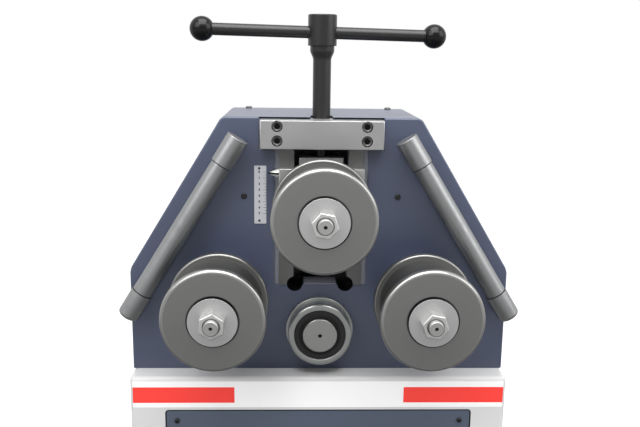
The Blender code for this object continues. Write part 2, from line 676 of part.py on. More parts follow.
def head(frame):
    """Folded cover, main plate with the slot, and rear plate on tie rods."""
    seat = BASE_TOP + GAP
    outer = prism(head_outline(0, seat), 0, HEAD_DEPTH)
    soften(
        outer,
        lambda e: runs_along(e, 1) and e.verts[0].co.z > seat + 1e-6,
        HEAD_CORNER_ROUND,
    )
    soften(
        outer,
        lambda e: lies_at(e, 1, 0) and not lies_at(e, 2, seat),
        HEAD_EDGE_ROUND,
    )
    cover = piece("head_cover", outer, HEAD_PAINT, frame)
    cavity = prism(head_outline(SHEET, seat - 0.05), SHEET, HEAD_DEPTH + 0.05)
    window = box((-WINDOW_HALF, -0.01, WINDOW_FLOOR), (WINDOW_HALF, SHEET + 0.01, BRIDGE_TOP))
    top_cut = box(
        (-TOP_CUT_HALF, -0.01, BRIDGE_BOTTOM - 0.004), (TOP_CUT_HALF, TOP_CUT_REAR, HEAD_TOP + 0.01)
    )
    notch = box(
        (-NOTCH_HALF, 0, HEAD_TOP - SHEET - 0.01), (NOTCH_HALF, SPINDLE_Y, HEAD_TOP + 0.01)
    )
    notch_end = rod(
        (0, SPINDLE_Y, HEAD_TOP - SHEET - 0.01), (0, SPINDLE_Y, HEAD_TOP + 0.01), NOTCH_HALF
    )
    holes = [
        rod((x, -0.01, 0), (x, SHEET + 0.01, 0), HOUSING_RADIUS + GAP, SMALL)
        for x in (-SHAFT_X, SHAFT_X)
    ]
    holes.append(
        rod((0, -0.01, DRIVE_Z), (0, SHEET + 0.01, DRIVE_Z), HUB_RIM_RADIUS + GAP, ROUND)
    )
    cut(cover, frame, cavity, window, top_cut, notch, notch_end, *holes, *slot_corners(0))

    inset = SHEET + GAP
    plate = piece(
        "main_plate",
        prism(head_outline(inset, seat), PLATE_FRONT, PLATE_REAR),
        DARK_STEEL,
        frame,
        smooth=False,
    )
    slot = box(
        (-SLOT_HALF, PLATE_FRONT - 0.01, SLOT_FLOOR), (SLOT_HALF, PLATE_REAR + 0.01, HEAD_TOP + 0.01)
    )
    bores = [
        rod((x, PLATE_FRONT - 0.01, z), (x, PLATE_REAR + 0.01, z), SPIGOT_RADIUS + GAP, sides)
        for x, z, sides in ((-SHAFT_X, 0, SMALL), (SHAFT_X, 0, SMALL), (0, DRIVE_Z, ROUND))
    ]
    taps = [
        rod(
            (x, PLATE_FRONT - 0.01, z),
            (x, SCREW_REACH + 0.002, z),
            SCREW_RADIUS + GAP,
            TINY,
        )
        for x in (-BRIDGE_SCREW_X, BRIDGE_SCREW_X)
        for z in BRIDGE_SCREW_Z
    ]
    cut(plate, frame, slot, *slot_corners(PLATE_FRONT), *bores, *taps)

    rear = piece(
        "rear_plate",
        prism(head_outline(inset, seat), REAR_PLATE_Y, REAR_PLATE_END),
        DARK_STEEL,
        frame,
        smooth=False,
    )
    ties = [
        rod((side * x, PLATE_REAR + GAP, z), (side * x, REAR_PLATE_Y + 0.004, z), TIE_RADIUS, TINY)
        for side in (-1, 1)
        for x, z in (UPPER_TIE, LOWER_TIE)
    ]
    fuse(rear, frame, *ties)
    journals = [
        rod((x, REAR_PLATE_Y - 0.01, z), (x, REAR_PLATE_END + 0.01, z), REAR_JOURNAL_RADIUS + GAP)
        for x, z in ((-SHAFT_X, 0), (SHAFT_X, 0), (0, DRIVE_Z))
    ]
    cut(rear, frame, *journals)


def bridge(frame):
    """Steel bar over the slot, with its tongue in the slot, screws and thrust ring."""
    bar = box(
        (-BRIDGE_HALF, -BRIDGE_FRONT, BRIDGE_BOTTOM), (BRIDGE_HALF, PLATE_FRONT - GAP, BRIDGE_TOP)
    )
    soften(bar, lambda e: lies_at(e, 1, -BRIDGE_FRONT), BRIDGE_EDGE, 1)
    block = piece("bridge_block", bar, BRIGHT_STEEL, frame, smooth=False)
    tongue_half = SLOT_HALF - GAP
    tongue = box((-tongue_half, -0.004, BRIDGE_BOTTOM), (tongue_half, TONGUE_REAR, BRIDGE_TOP))
    fuse(block, frame, tongue)
    centre = (0, SPINDLE_Y)
    shank = rod((*centre, BRIDGE_BOTTOM - 0.01), (*centre, BRIDGE_TOP + 0.01), SHANK_RADIUS + GAP)
    pocket = rod(
        (*centre, BRIDGE_BOTTOM - 0.01), (*centre, THRUST_TOP + GAP), THRUST_RADIUS + 3 * GAP
    )
    cut(block, frame, shank, pocket)
    head_back = -BRIDGE_FRONT + 0.0005 + SCREW_HEAD_THICK
    number = 0
    for x in (-BRIDGE_SCREW_X, BRIDGE_SCREW_X):
        for z in BRIDGE_SCREW_Z:
            number += 1
            seat = [
                (-BRIDGE_FRONT - 0.01, 0),
                (-BRIDGE_FRONT - 0.01, SCREW_HEAD_RADIUS + GAP),
                (head_back + GAP, SCREW_HEAD_RADIUS + GAP),
                (head_back + GAP, SCREW_RADIUS + GAP),
                (PLATE_FRONT + 0.01, SCREW_RADIUS + GAP),
                (PLATE_FRONT + 0.01, 0),
            ]
            combine(
                block,
                frame,
                turned(seat, (x, 0, z), (0, 1, 0), TINY),
                "DIFFERENCE",
                f"screw_seat_{number}",
            )
            bridge_screw(number, frame, x, z, head_back)
    ring = [
        (SHANK_BOTTOM, SHANK_RADIUS + GAP),
        (SHANK_BOTTOM, THRUST_RADIUS + 2 * GAP),
        (THRUST_BOTTOM - GAP, THRUST_RADIUS + 2 * GAP),
        (THRUST_BOTTOM - GAP, SHANK_RADIUS + GAP),
    ]
    piece("thrust_ring", turned(ring, (0, SPINDLE_Y, 0), (0, 0, 1), SMALL), BRONZE, frame)


def bridge_screw(number, frame, x, z, head_back):
    """Socket-head screw through the bridge into the main plate."""
    front = head_back - SCREW_HEAD_THICK
    profile = [
        (front, 0),
        (front, SCREW_HEAD_RADIUS - 0.001),
        (front + 0.001, SCREW_HEAD_RADIUS),
        (head_back, SCREW_HEAD_RADIUS),
        (head_back, SCREW_RADIUS),
        (SCREW_REACH, SCREW_RADIUS),
        (SCREW_REACH, 0),
    ]
    screw = piece(
        f"bridge_screw_{number}",
        turned(profile, (x, 0, z), (0, 1, 0), TINY),
        DARK_STEEL,
        frame,
    )
    socket = rod((x, front - 0.01, z), (x, front + 0.005, z), SCREW_RADIUS * 0.92, 6)
    cut(screw, frame, socket)


def guides_and_scale(frame):
    """Steel guide strips beside the slot and the bare scale plate."""
    for side, sign in (("left", -1), ("right", 1)):
        low, high = sorted((sign * GUIDE_INNER, sign * GUIDE_OUTER))
        strip = box(
            (low, PLATE_FRONT - GAP - GUIDE_THICK, WINDOW_FLOOR + GAP),
            (high, PLATE_FRONT - GAP, BRIDGE_BOTTOM - GAP),
        )
        piece(f"guide_strip_{side}", strip, TURNED_STEEL, frame, smooth=False)
    plate = box(
        (SCALE_RIGHT - SCALE_WIDTH, -GAP - SCALE_THICK, SCALE_TOP - SCALE_LENGTH),
        (SCALE_RIGHT, -GAP, SCALE_TOP),
    )
    piece("scale_plate", plate, ALUMINIUM, frame, smooth=False)


def side_bar(side, sign, frame):
    """Round bar held off the head by a sleeve at each end."""
    top = Vector((sign * SIDE_TOP[0], SIDE_BAR_Y, SIDE_TOP[1]))
    end = Vector((sign * SIDE_END[0], SIDE_BAR_Y, SIDE_END[1]))
    line = (end - top).normalized()
    length = (end - top).length
    first = UPPER_SLEEVE + GAP
    last = length - LOWER_SLEEVE - GAP
    pin, reach = SPIGOT_PIN_RADIUS, SPIGOT_PIN_LENGTH
    bar = [
        (first - reach, 0),
        (first - reach, pin),
        (first, pin),
        (first, SIDE_BAR_RADIUS),
        (last, SIDE_BAR_RADIUS),
        (last, pin),
        (last + reach, pin),
        (last + reach, 0),
    ]
    piece(f"side_bar_{side}", turned(bar, top, line, SMALL), BRIGHT_STEEL, frame)
    socket = reach + 0.001
    upper = [
        (0, 0),
        (0, SLEEVE_RADIUS - 0.001),
        (0.001, SLEEVE_RADIUS),
        (UPPER_SLEEVE, SLEEVE_RADIUS),
        (UPPER_SLEEVE, pin + GAP),
        (UPPER_SLEEVE - socket, pin + GAP),
        (UPPER_SLEEVE - socket, 0),
    ]
    start = length - LOWER_SLEEVE
    soft = SLEEVE_ROUND
    lower = [
        (start + socket, 0),
        (start + socket, pin + GAP),
        (start, pin + GAP),
        (start, SLEEVE_RADIUS),
        (length - soft, SLEEVE_RADIUS),
        (length - soft * 0.29, SLEEVE_RADIUS - soft * 0.29),
        (length, SLEEVE_RADIUS - soft),
        (length, 0),
    ]
    for place, profile, centre in (
        ("upper", upper, UPPER_SLEEVE * 0.4),
        ("lower", lower, start + LOWER_SLEEVE * 0.55),
    ):
        sleeve = piece(
            f"side_bar_sleeve_{place}_{side}", turned(profile, top, line, SMALL), BRIGHT_STEEL, frame
        )
        foot = top + line * centre
        stud = rod(
            (foot.x, SIDE_BAR_Y + SLEEVE_RADIUS * 0.5, foot.z), (foot.x, -GAP, foot.z), STUD_RADIUS, TINY
        )
        fuse(sleeve, frame, stud)


def drive_hub(frame, drive_axis):
    """Ring and seal round the central drive shaft, the shaft and its pinion."""
    bore = JOURNAL_RADIUS + GAP
    front, rim = -HUB_RING_REACH, -HUB_RIM_REACH
    seal_back = front + 0.0095
    ring = [
        (seal_back, SEAL_RADIUS + GAP),
        (front + 0.001, SEAL_RADIUS + GAP),
        (front, SEAL_RADIUS + 0.0012),
        (front, HUB_RING_RADIUS - 0.004),
        (front + 0.0012, HUB_RING_RADIUS - 0.0012),
        (front + 0.004, HUB_RING_RADIUS),
        (rim, HUB_RING_RADIUS),
        (rim, HUB_RIM_RADIUS),
        (PLATE_FRONT - GAP, HUB_RIM_RADIUS),
        (PLATE_FRONT - GAP, SPIGOT_RADIUS),
        (PLATE_REAR - 0.002, SPIGOT_RADIUS),
        (PLATE_REAR - 0.002, bore),
        (seal_back + 0.018, bore),
        (seal_back + 0.018, DRIVE_END_RADIUS + 2 * GAP),
        (seal_back, DRIVE_END_RADIUS + 2 * GAP),
    ]
    at = (0, 0, DRIVE_Z)
    piece("drive_hub_ring", turned(ring, at, (0, 1, 0)), TURNED_STEEL, frame)
    seal = [
        (front + 0.0015, DRIVE_END_RADIUS + 2 * GAP),
        (front + 0.0015, SEAL_RADIUS),
        (seal_back - GAP, SEAL_RADIUS),
        (seal_back - GAP, DRIVE_END_RADIUS + 2 * GAP),
    ]
    piece("drive_shaft_seal", turned(seal, at, (0, 1, 0)), RUBBER, frame)
    end = -DRIVE_END_REACH
    gear_end = GEAR_Y + GEAR_WIDTH + 0.002
    shaft = [
        (end, 0),
        (end, DRIVE_END_RADIUS - 0.001),
        (end + 0.001, DRIVE_END_RADIUS),
        (seal_back + 0.018 - GAP, DRIVE_END_RADIUS),
        (seal_back + 0.018 - GAP, JOURNAL_RADIUS),
        (gear_end, JOURNAL_RADIUS),
        (gear_end, REAR_JOURNAL_RADIUS),
        (REAR_PLATE_END + 0.6 * REDUCER_DEPTH, REAR_JOURNAL_RADIUS),
        (REAR_PLATE_END + 0.6 * REDUCER_DEPTH, 0),
    ]
    piece("drive_shaft", turned(shaft, at, (0, 1, 0), SMALL), BRIGHT_STEEL, drive_axis)
    outline = gear_outline(PINION_TEETH, (0, DRIVE_Z), atan2(-DRIVE_Z, -SHAFT_X))
    pinion = piece(
        "drive_pinion",
        prism(outline, GEAR_Y, GEAR_Y + GEAR_WIDTH),
        DARK_STEEL,
        drive_axis,
        smooth=False,
    )
    hole = rod((0, GEAR_Y - 0.01, DRIVE_Z), (0, gear_end + 0.01, DRIVE_Z), JOURNAL_RADIUS + GAP)
    cut(pinion, drive_axis, hole)


def power_unit(frame):
    """Gear unit on the rear plate, with its motor, fan cowl and terminal box."""
    front = REAR_PLATE_END + GAP
    rear = front + REDUCER_DEPTH
    case = box((-REDUCER_HALF, front, REDUCER_BOTTOM), (REDUCER_HALF, rear, REDUCER_TOP))
    soften(case, lambda e: runs_along(e, 1), 0.020)
    unit = piece("gear_reducer", case, GREY_CAST, frame)
    bore = rod((0, front - 0.01, DRIVE_Z), (0, rear - 0.02, DRIVE_Z), REAR_JOURNAL_RADIUS + GAP)
    cut(unit, frame, bore)
    y = (front + rear) / 2
    start = REDUCER_HALF + GAP
    flange = 0.010
    motor = [
        (start, 0),
        (start, MOTOR_RADIUS - 0.001),
        (start + flange, MOTOR_RADIUS - 0.001),
        (start + flange, MOTOR_RADIUS - 0.008),
        (start + 0.022, MOTOR_RADIUS - 0.008),
        (start + 0.022, MOTOR_RADIUS),
        (start + MOTOR_LENGTH, MOTOR_RADIUS),
        (start + MOTOR_LENGTH, 0),
    ]
    at = (0, y, MOTOR_Z)
    piece("motor_body", turned(motor, at, (1, 0, 0), SMALL), PANEL_PAINT, frame)
    fan_start = start + MOTOR_LENGTH + GAP
    cowl = [
        (fan_start, 0),
        (fan_start, FAN_RADIUS),
        (fan_start + FAN_LENGTH - 0.010, FAN_RADIUS),
        (fan_start + FAN_LENGTH, FAN_RADIUS - 0.012),
        (fan_start + FAN_LENGTH, 0),
    ]
    piece("motor_fan_cowl", turned(cowl, at, (1, 0, 0), SMALL), DARK_PLASTIC, frame)
    wide, deep, tall = TERMINAL_SIZE
    middle = start + 0.022 + (MOTOR_LENGTH - 0.022) / 2
    seat = MOTOR_Z + sqrt(MOTOR_RADIUS**2 - (deep / 2) ** 2)
    lid = box(
        (middle - wide / 2, y - deep / 2, seat), (middle + wide / 2, y + deep / 2, MOTOR_Z + MOTOR_RADIUS + tall)
    )
    terminal = piece(
        "motor_terminal_box",
        soften(lid, lambda e: lies_at(e, 2, MOTOR_Z + MOTOR_RADIUS + tall), 0.003, 1),
        DARK_PLASTIC,
        frame,
    )
    saddle = rod((middle - wide, y, MOTOR_Z), (middle + wide, y, MOTOR_Z), MOTOR_RADIUS + GAP, SMALL)
    cut(terminal, frame, saddle)


def carriage(axis):
    """Slide block with its boss, bush, keeper, pointer and the lifting rod."""
    z = axis.at.z
    back = PLATE_FRONT - GAP - GUIDE_THICK - GAP
    flange = box((-CARRIAGE_HALF, -CARRIAGE_FRONT, CARRIAGE_BOTTOM), (CARRIAGE_HALF, back, CARRIAGE_TOP))
    soften(flange, lambda e: lies_at(e, 1, -CARRIAGE_FRONT), 0.0012, 1)
    block = piece("carriage_block", flange, TURNED_STEEL, axis, smooth=False)
    slide_half = SLOT_HALF - 2 * GAP
    slide = box((-slide_half, back - 0.004, CARRIAGE_BOTTOM), (slide_half, PLATE_REAR - GAP, CARRIAGE_TOP))
    upper = box((-BLOCK_HALF, BLOCK_FRONT, BLOCK_BOTTOM), (BLOCK_HALF, BLOCK_REAR, BLOCK_TOP))
    shoulder = ROLL_REAR + GAP + SHOULDER_WIDTH
    boss = rod((0, shoulder + GAP, z), (0, -CARRIAGE_FRONT + 0.004, z), BOSS_RADIUS, ROUND)
    fuse(block, axis, slide, upper, boss)
    bush_front = shoulder + GAP + 0.0005
    seat = rod((0, shoulder - 0.01, z), (0, PLATE_REAR + 0.01, z), BUSH_RADIUS + GAP)
    thread = rod((0, SPINDLE_Y, ROD_BOTTOM - GAP), (0, SPINDLE_Y, BLOCK_TOP + 0.01), ROD_RADIUS + GAP)
    cut(block, axis, seat, thread)
    bush = [
        (bush_front, TOP_JOURNAL_RADIUS + GAP),
        (bush_front, BUSH_RADIUS),
        (PLATE_REAR - GAP, BUSH_RADIUS),
        (PLATE_REAR - GAP, TOP_JOURNAL_RADIUS + GAP),
    ]
    piece("carriage_bush", turned(bush, (0, 0, z), (0, 1, 0), SMALL), BRONZE, axis)
    front = PLATE_REAR + GAP
    keeper = piece(
        "carriage_keeper_plate",
        box(
            (-CARRIAGE_HALF, front, z - KEEPER_BELOW),
            (CARRIAGE_HALF, front + KEEPER_THICK, KEEPER_TOP),
        ),
        DARK_STEEL,
        axis,
        smooth=False,
    )
    hole = rod(
        (0, front - 0.01, z), (0, front + KEEPER_THICK + 0.01, z), TOP_JOURNAL_RADIUS + GAP
    )
    cut(keeper, axis, hole)
    profile = [
        (ROD_BOTTOM, 0),
        (ROD_BOTTOM, ROD_RADIUS),
        (ROD_TOP - 0.002, ROD_RADIUS),
        (ROD_TOP, ROD_RADIUS - 0.002),
        (ROD_TOP, 0),
    ]
    piece("lift_screw_rod", turned(profile, (0, SPINDLE_Y, 0), (0, 0, 1), SMALL), BRIGHT_STEEL, axis)
    root = CARRIAGE_HALF + GAP
    cone = [
        (root, 0),
        (root, POINTER_RADIUS),
        (root + POINTER_LENGTH * 0.35, POINTER_RADIUS),
        (root + POINTER_LENGTH, 0.0006),
        (root + POINTER_LENGTH, 0),
    ]
    piece(
        "scale_pointer",
        turned(cone, (0, POINTER_Y, POINTER_Z), (-1, 0, 0), TINY),
        BRIGHT_STEEL,
        axis,
    )


def top_roll(axis):
    """The idle top roll on its shaft in the carriage."""
    z = axis.at.z
    keeper_rear = PLATE_REAR + GAP + KEEPER_THICK
    shaft = front_end(TOP_JOURNAL_RADIUS) + [
        (keeper_rear + GAP, TOP_JOURNAL_RADIUS),
        (keeper_rear + GAP, BUSH_RADIUS),
        (keeper_rear + GAP + COLLAR_WIDTH, BUSH_RADIUS),
        (keeper_rear + GAP + COLLAR_WIDTH, 0),
    ]
    piece("top_shaft", turned(shaft, (0, 0, z), (0, 1, 0), SMALL), BRIGHT_STEEL, axis)
    roll_segments("top", axis)
    roll_fixings("top", axis, radians(12))


def spindle(axis):
    """Turning sleeve with its thrust flange and the cross-drilled hub."""
    at = (0, SPINDLE_Y, 0)
    bore_top = TAPER_BOTTOM + 0.003
    profile = [
        (bore_top, 0),
        (bore_top, BORE_RADIUS),
        (SHANK_BOTTOM, BORE_RADIUS),
        (SHANK_BOTTOM, SHANK_RADIUS),
        (THRUST_BOTTOM, SHANK_RADIUS),
        (THRUST_BOTTOM, THRUST_RADIUS),
        (THRUST_TOP, THRUST_RADIUS),
        (THRUST_TOP, SHANK_RADIUS),
        (TAPER_BOTTOM, SHANK_RADIUS),
        (HUB_COLLAR_BOTTOM, HUB_COLLAR_RADIUS),
        (HUB_BOTTOM, HUB_COLLAR_RADIUS),
        (HUB_BOTTOM, HUB_RADIUS),
        (HUB_TOP - HUB_EDGE, HUB_RADIUS),
        (HUB_TOP, HUB_RADIUS - HUB_EDGE),
        (HUB_TOP, 0),
    ]
    sleeve = piece("spindle_sleeve", turned(profile, at, (0, 0, 1), SMALL), BLACK_OXIDE, axis)
    along = Vector((cos(BAR_YAW), sin(BAR_YAW), 0))
    centre = Vector((0, SPINDLE_Y, BAR_HEIGHT))
    clear = BAR_RADIUS / cos(BAR_TILT) + HUB_RADIUS * tan(BAR_TILT) + GAP
    reach = along * (HUB_RADIUS + 0.01)
    cut(sleeve, axis, rod(centre - reach, centre + reach, clear))


def cross_handle(axis):
    """Cross bar that slides in the hub, with a ball knob on each end."""
    origin = axis.at
    half = KNOB_REACH + KNOB_GRIP
    middle = origin + Vector((BAR_SHIFT, 0, 0))
    bar = [
        (-half, 0),
        (-half, BAR_RADIUS - 0.001),
        (-half + 0.001, BAR_RADIUS),
        (half - 0.001, BAR_RADIUS),
        (half, BAR_RADIUS - 0.001),
        (half, 0),
    ]
    piece("cross_bar", turned(bar, middle, (1, 0, 0), 20), BLACK_OXIDE, axis)
    bore = BAR_RADIUS + GAP
    mouth = bore + 0.0012
    first = asin(mouth / KNOB_RADIUS)
    steps = 8
    profile = [(KNOB_GRIP + GAP, 0), (KNOB_GRIP + GAP, bore), (-KNOB_RADIUS * cos(first), bore)]
    for step in range(steps + 1):
        angle = first + (pi - first) * step / steps
        radius = 0 if step == steps else KNOB_RADIUS * sin(angle)
        profile.append((-KNOB_RADIUS * cos(angle), radius))
    for side, sign in (("left", -1), ("right", 1)):
        at = middle + Vector((sign * KNOB_REACH, 0, 0))
        piece(f"ball_knob_{side}", turned(profile, at, (sign, 0, 0), 16), GLOSS_BLACK, axis)


def main():
    clear_scene()
    frame = Axis("machine_frame", (0, 0, 0))
    left = Axis("lower_left_axis", (-SHAFT_X, 0, 0), frame)
    right = Axis("lower_right_axis", (SHAFT_X, 0, 0), frame)
    drive = Axis("drive_axis", (0, 0, DRIVE_Z), frame)
    slide = Axis("carriage_axis", (0, SPINDLE_Y, TOP_ROLL_Z), frame)
    top = Axis("top_roll_axis", (0, 0, TOP_ROLL_Z), slide)
    turn = Axis("spindle_axis", (0, SPINDLE_Y, BRIDGE_TOP), frame)
    cross = Axis("cross_bar_axis", (0, SPINDLE_Y, BAR_HEIGHT), turn, (0, BAR_TILT, BAR_YAW))

    stand(frame)
    head(frame)
    bridge(frame)
    guides_and_scale(frame)
    for side, sign in (("left", -1), ("right", 1)):
        side_bar(side, sign, frame)
        bearing_housing(side, frame, sign * SHAFT_X)
    drive_hub(frame, drive)
    power_unit(frame)
    carriage(slide)
    top_roll(top)
    spindle(turn)
    cross_handle(cross)

    rise = atan2(-DRIVE_Z, SHAFT_X)
    pitch = 2 * pi / PINION_TEETH
    offset = ((pi - rise) - rise) % pitch
    offset = offset - pitch if offset > pitch / 2 else offset
    lower_roll("left", left, 0.0, atan2(DRIVE_Z, SHAFT_X))
    lower_roll(
        "right",
        right,
        radians(22),
        atan2(DRIVE_Z, -SHAFT_X) - offset * PINION_TEETH / GEAR_TEETH,
    )
    frame.empty.location = FRAME_AT


main()
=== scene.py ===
"""Dressed model of a floor-standing three-roll section bender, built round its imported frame.

Each group of the machine is a class whose fields are its sizes in metres. Shapes are drawn in the
machine's own layout (the head's front face is y = 0, its middle plane x = 0, the lower roll
shafts' height z = 0) and carried to the frame when a piece is made.
"""

import json
import logging
from dataclasses import dataclass
from enum import Enum, IntEnum
from math import asin, cos, hypot, pi, radians, sin, tan
from typing import Callable, Iterable, Sequence

import bmesh
import bpy
from mathutils import Matrix, Vector

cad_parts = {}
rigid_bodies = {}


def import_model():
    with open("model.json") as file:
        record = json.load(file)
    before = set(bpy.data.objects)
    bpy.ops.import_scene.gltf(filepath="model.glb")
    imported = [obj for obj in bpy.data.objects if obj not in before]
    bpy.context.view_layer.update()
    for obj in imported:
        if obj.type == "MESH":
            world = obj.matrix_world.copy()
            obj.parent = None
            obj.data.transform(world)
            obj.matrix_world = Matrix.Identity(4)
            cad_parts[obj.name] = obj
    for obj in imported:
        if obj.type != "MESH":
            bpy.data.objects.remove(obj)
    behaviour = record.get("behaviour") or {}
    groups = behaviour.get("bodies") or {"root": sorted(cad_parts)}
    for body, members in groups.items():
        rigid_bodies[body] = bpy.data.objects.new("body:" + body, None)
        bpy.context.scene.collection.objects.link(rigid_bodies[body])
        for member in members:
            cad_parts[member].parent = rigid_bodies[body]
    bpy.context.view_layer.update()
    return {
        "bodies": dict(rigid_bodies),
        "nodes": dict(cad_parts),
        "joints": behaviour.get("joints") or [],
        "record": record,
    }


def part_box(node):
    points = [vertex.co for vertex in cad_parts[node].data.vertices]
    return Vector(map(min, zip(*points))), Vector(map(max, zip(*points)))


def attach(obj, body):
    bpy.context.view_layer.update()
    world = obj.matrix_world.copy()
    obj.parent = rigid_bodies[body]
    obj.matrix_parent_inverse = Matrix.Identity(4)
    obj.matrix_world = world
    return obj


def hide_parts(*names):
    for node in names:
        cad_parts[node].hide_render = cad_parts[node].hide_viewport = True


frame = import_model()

LOG = logging.getLogger("section_bender")
Pair = tuple[float, float]
Point = tuple[float, float, float]
Profile = Sequence[Pair]
Round = tuple[float, float, float, int]
Shape = bmesh.types.BMesh
Choice = Callable[[bmesh.types.BMEdge], bool]
Socket = bpy.types.NodeSocket
Colour = Socket | tuple[float, ...]
# Directions in the machine's layout.
ACROSS, BACK, UP = (1, 0, 0), (0, 1, 0), (0, 0, 1)
OUT, LEFTWARD = (0, -1, 0), (-1, 0, 0)
# The play between neighbouring pieces, as in the CAD.
GAP = 0.0003
MM = 0.001
# How far a cutting shape reaches past the face that it cuts.
PAST = 0.01
# The same for the short profiles of seats, nuts and heads.
OVER = 0.001
# Two points closer than this are one.
TOUCH = 1e-6
# Faces that meet at more than this stay apart in the shading.
SHARP = radians(33)
# The rolls' shafts behind their shoulders, as (y, radius).
LOWER_JOURNAL = ((-0.0599, 0.020), (0.132, 0.020), (0.132, 0.0175), (0.212, 0.0175), (0.212, 0.0))
UPPER_JOURNAL = ((-0.0602, 0.0175), (0.0579, 0.0175), (0.0579, 0.026), (0.0659, 0.026), (0.0659, 0.0))
# Machined metal under a thin film of oil.
TURNED_METAL = 0.9
# The range that most of a noise pattern falls in.
NOISE_SPAN = (0.3, 0.7)


class Body(Enum):
    """The moving groups of the frame."""

    MACHINE = "machine"
    SPINDLE = "spindle"
    CROSS = "cross_handle"
    CARRIAGE = "carriage"
    TOP_ROLL = "top_roll"
    LEFT_ROLL = "lower_left_roll"
    RIGHT_ROLL = "lower_right_roll"
    DRIVE = "drive"


class Axis(IntEnum):
    """The axes, as a point counts them."""

    X = 0
    Y = 1
    Z = 2


class Facets(IntEnum):
    """How many flat faces stand for a full circle, by the size of the piece."""

    HEXAGON = 6
    HOLE = 32
    HEAD = 40
    SMALL = 48
    SCREW = 64
    SHAFT = 72
    BODY = 96
    RING = 128
    ROLL = 144


class Side(Enum):
    """Left and right of someone who faces the rolls."""

    LEFT = -1
    RIGHT = 1


class Grain(Enum):
    """The way that grinding or milling lines run, as the pattern's shares along x, y and z."""

    ALONG_X = (0.02, 1.0, 1.0)
    ALONG_Z = (1.0, 1.0, 0.02)
    EVEN = (1.0, 1.0, 1.0)


class Drive(Enum):
    """The recess in a screw's head, or none on a rivet."""

    SOCKET = 6
    NONE = 0


# Materials


def linear(code: str) -> tuple[float, ...]:
    """Turn an sRGB hex code to a linear colour.

    Args:
        code: Six hex digits.

    Returns:
        Linear red, green and blue, and an alpha of 1.
    """
    parts = [int(code[i : i + 2], 16) / 255 for i in (0, 2, 4)]
    return (*[c / 12.92 if c <= 0.04045 else ((c + 0.055) / 1.055) ** 2.4 for c in parts], 1.0)


@dataclass
class Graph:
    """A node tree, with short ways to add to it."""

    tree: bpy.types.NodeTree

    def put(self, kind: str, inputs: dict | None = None, **settings: str | bool) -> bpy.types.Node:
        """Add a node with its settings, values and links.

        Args:
            kind: The node's type name, without its first word.
            inputs: Input name or number to a value, or to an output socket to link.
            **settings: The node's own properties.

        Returns:
            The new node.
        """
        made = self.tree.nodes.new("ShaderNode" + kind)
        for name, value in settings.items():
            setattr(made, name, value)
        for name, value in (inputs or {}).items():
            if isinstance(value, Socket):
                self.tree.links.new(value, made.inputs[name])
            else:
                made.inputs[name].default_value = value
        return made

    def calc(self, operation: str, *values: Socket | float) -> Socket:
        """Reckon with one or two numbers."""
        return self.put("Math", dict(enumerate(values)), operation=operation).outputs[0]

    def vector(self, operation: str, *values: Socket | Point) -> bpy.types.NodeOutputs:
        """Reckon with one or two vectors."""
        return self.put("VectorMath", dict(enumerate(values)), operation=operation).outputs

    def ranged(
        self, value: Socket, span: Pair, onto: Pair = (0.0, 1.0), **settings: str | bool
    ) -> Socket:
        """Map one range of a value to another."""
        ends = {"From Min": span[0], "From Max": span[1], "To Min": onto[0], "To Max": onto[1]}
        return self.put("MapRange", {"Value": value, **ends}, **settings).outputs[0]

    def blended(self, share: Socket, first: Colour, second: Colour) -> Socket:
        """Mix two colours."""
        return self.put("Mix", {0: share, 6: first, 7: second}, data_type="RGBA").outputs[2]

    def chosen(self, share: Socket, first: Socket, second: Socket) -> Socket:
        """Mix two shaders."""
        return self.put("MixShader", {0: share, 1: first, 2: second}).outputs[0]

    def lit(self, kind: str, code: str, strength: Socket | float) -> Socket:
        """Add a shader that gives light."""
        return self.put(kind, {"Color": linear(code), "Strength": strength}).outputs[0]

    def separated(self, spot: Socket) -> bpy.types.NodeOutputs:
        """Split a place in its X, Y and Z."""
        return self.put("SeparateXYZ", {0: spot}).outputs


@dataclass
class Surface(Graph):
    """A material while its finish draws on it.

    Its patterns read Object coordinates, so they stay on a piece that moves.
    """

    shader: bpy.types.Node
    spot: Socket

    def noise(self, scale: float, detail: float, at: Socket | None = None) -> Socket:
        """Add a noise pattern.

        Args:
            scale: Its features in a metre.
            detail: Its octaves.
            at: Where it reads, if not plainly at the piece's coordinates.

        Returns:
            The pattern.
        """
        place = self.spot if at is None else at
        reads = {"Vector": place, "Scale": scale, "Detail": detail}
        return self.put("TexNoise", reads).outputs[0]

    def bands(self, way: Socket, scale: float, detail: float) -> Socket:
        """Add a noise pattern that changes with one measure only."""
        reads = {"W": way, "Scale": scale, "Detail": detail}
        return self.put("TexNoise", reads, noise_dimensions="1D").outputs[0]

    def fed(self, name: str) -> Socket:
        """The socket that feeds one of the shader's inputs."""
        return self.shader.inputs[name].links[0].from_socket

    def feed(self, name: str, value: Socket) -> None:
        """Let a socket feed one of the shader's inputs."""
        self.tree.links.new(value, self.shader.inputs[name])


@dataclass(frozen=True)
class Shade:
    """Painted shade: black round a line along y, and round that line's mirror images about a point."""

    middle: Point
    offset: Point
    reach: Pair
    colour: str = "0A0A0B"

    def draw(self, on: Surface) -> None:
        """Paint shade there, in black.

        Args:
            on: The surface, whose colour is already fed.
        """
        place = on.vector("SUBTRACT", on.spot, self.middle)[0]
        folded = on.vector("ABSOLUTE", place)[0]
        level = on.vector("MULTIPLY", folded, (1, 0, 1))[0]
        clear = on.ranged(on.vector("DISTANCE", level, self.offset)["Value"], self.reach)
        on.feed("Base Color", on.blended(clear, linear(self.colour), on.fed("Base Color")))


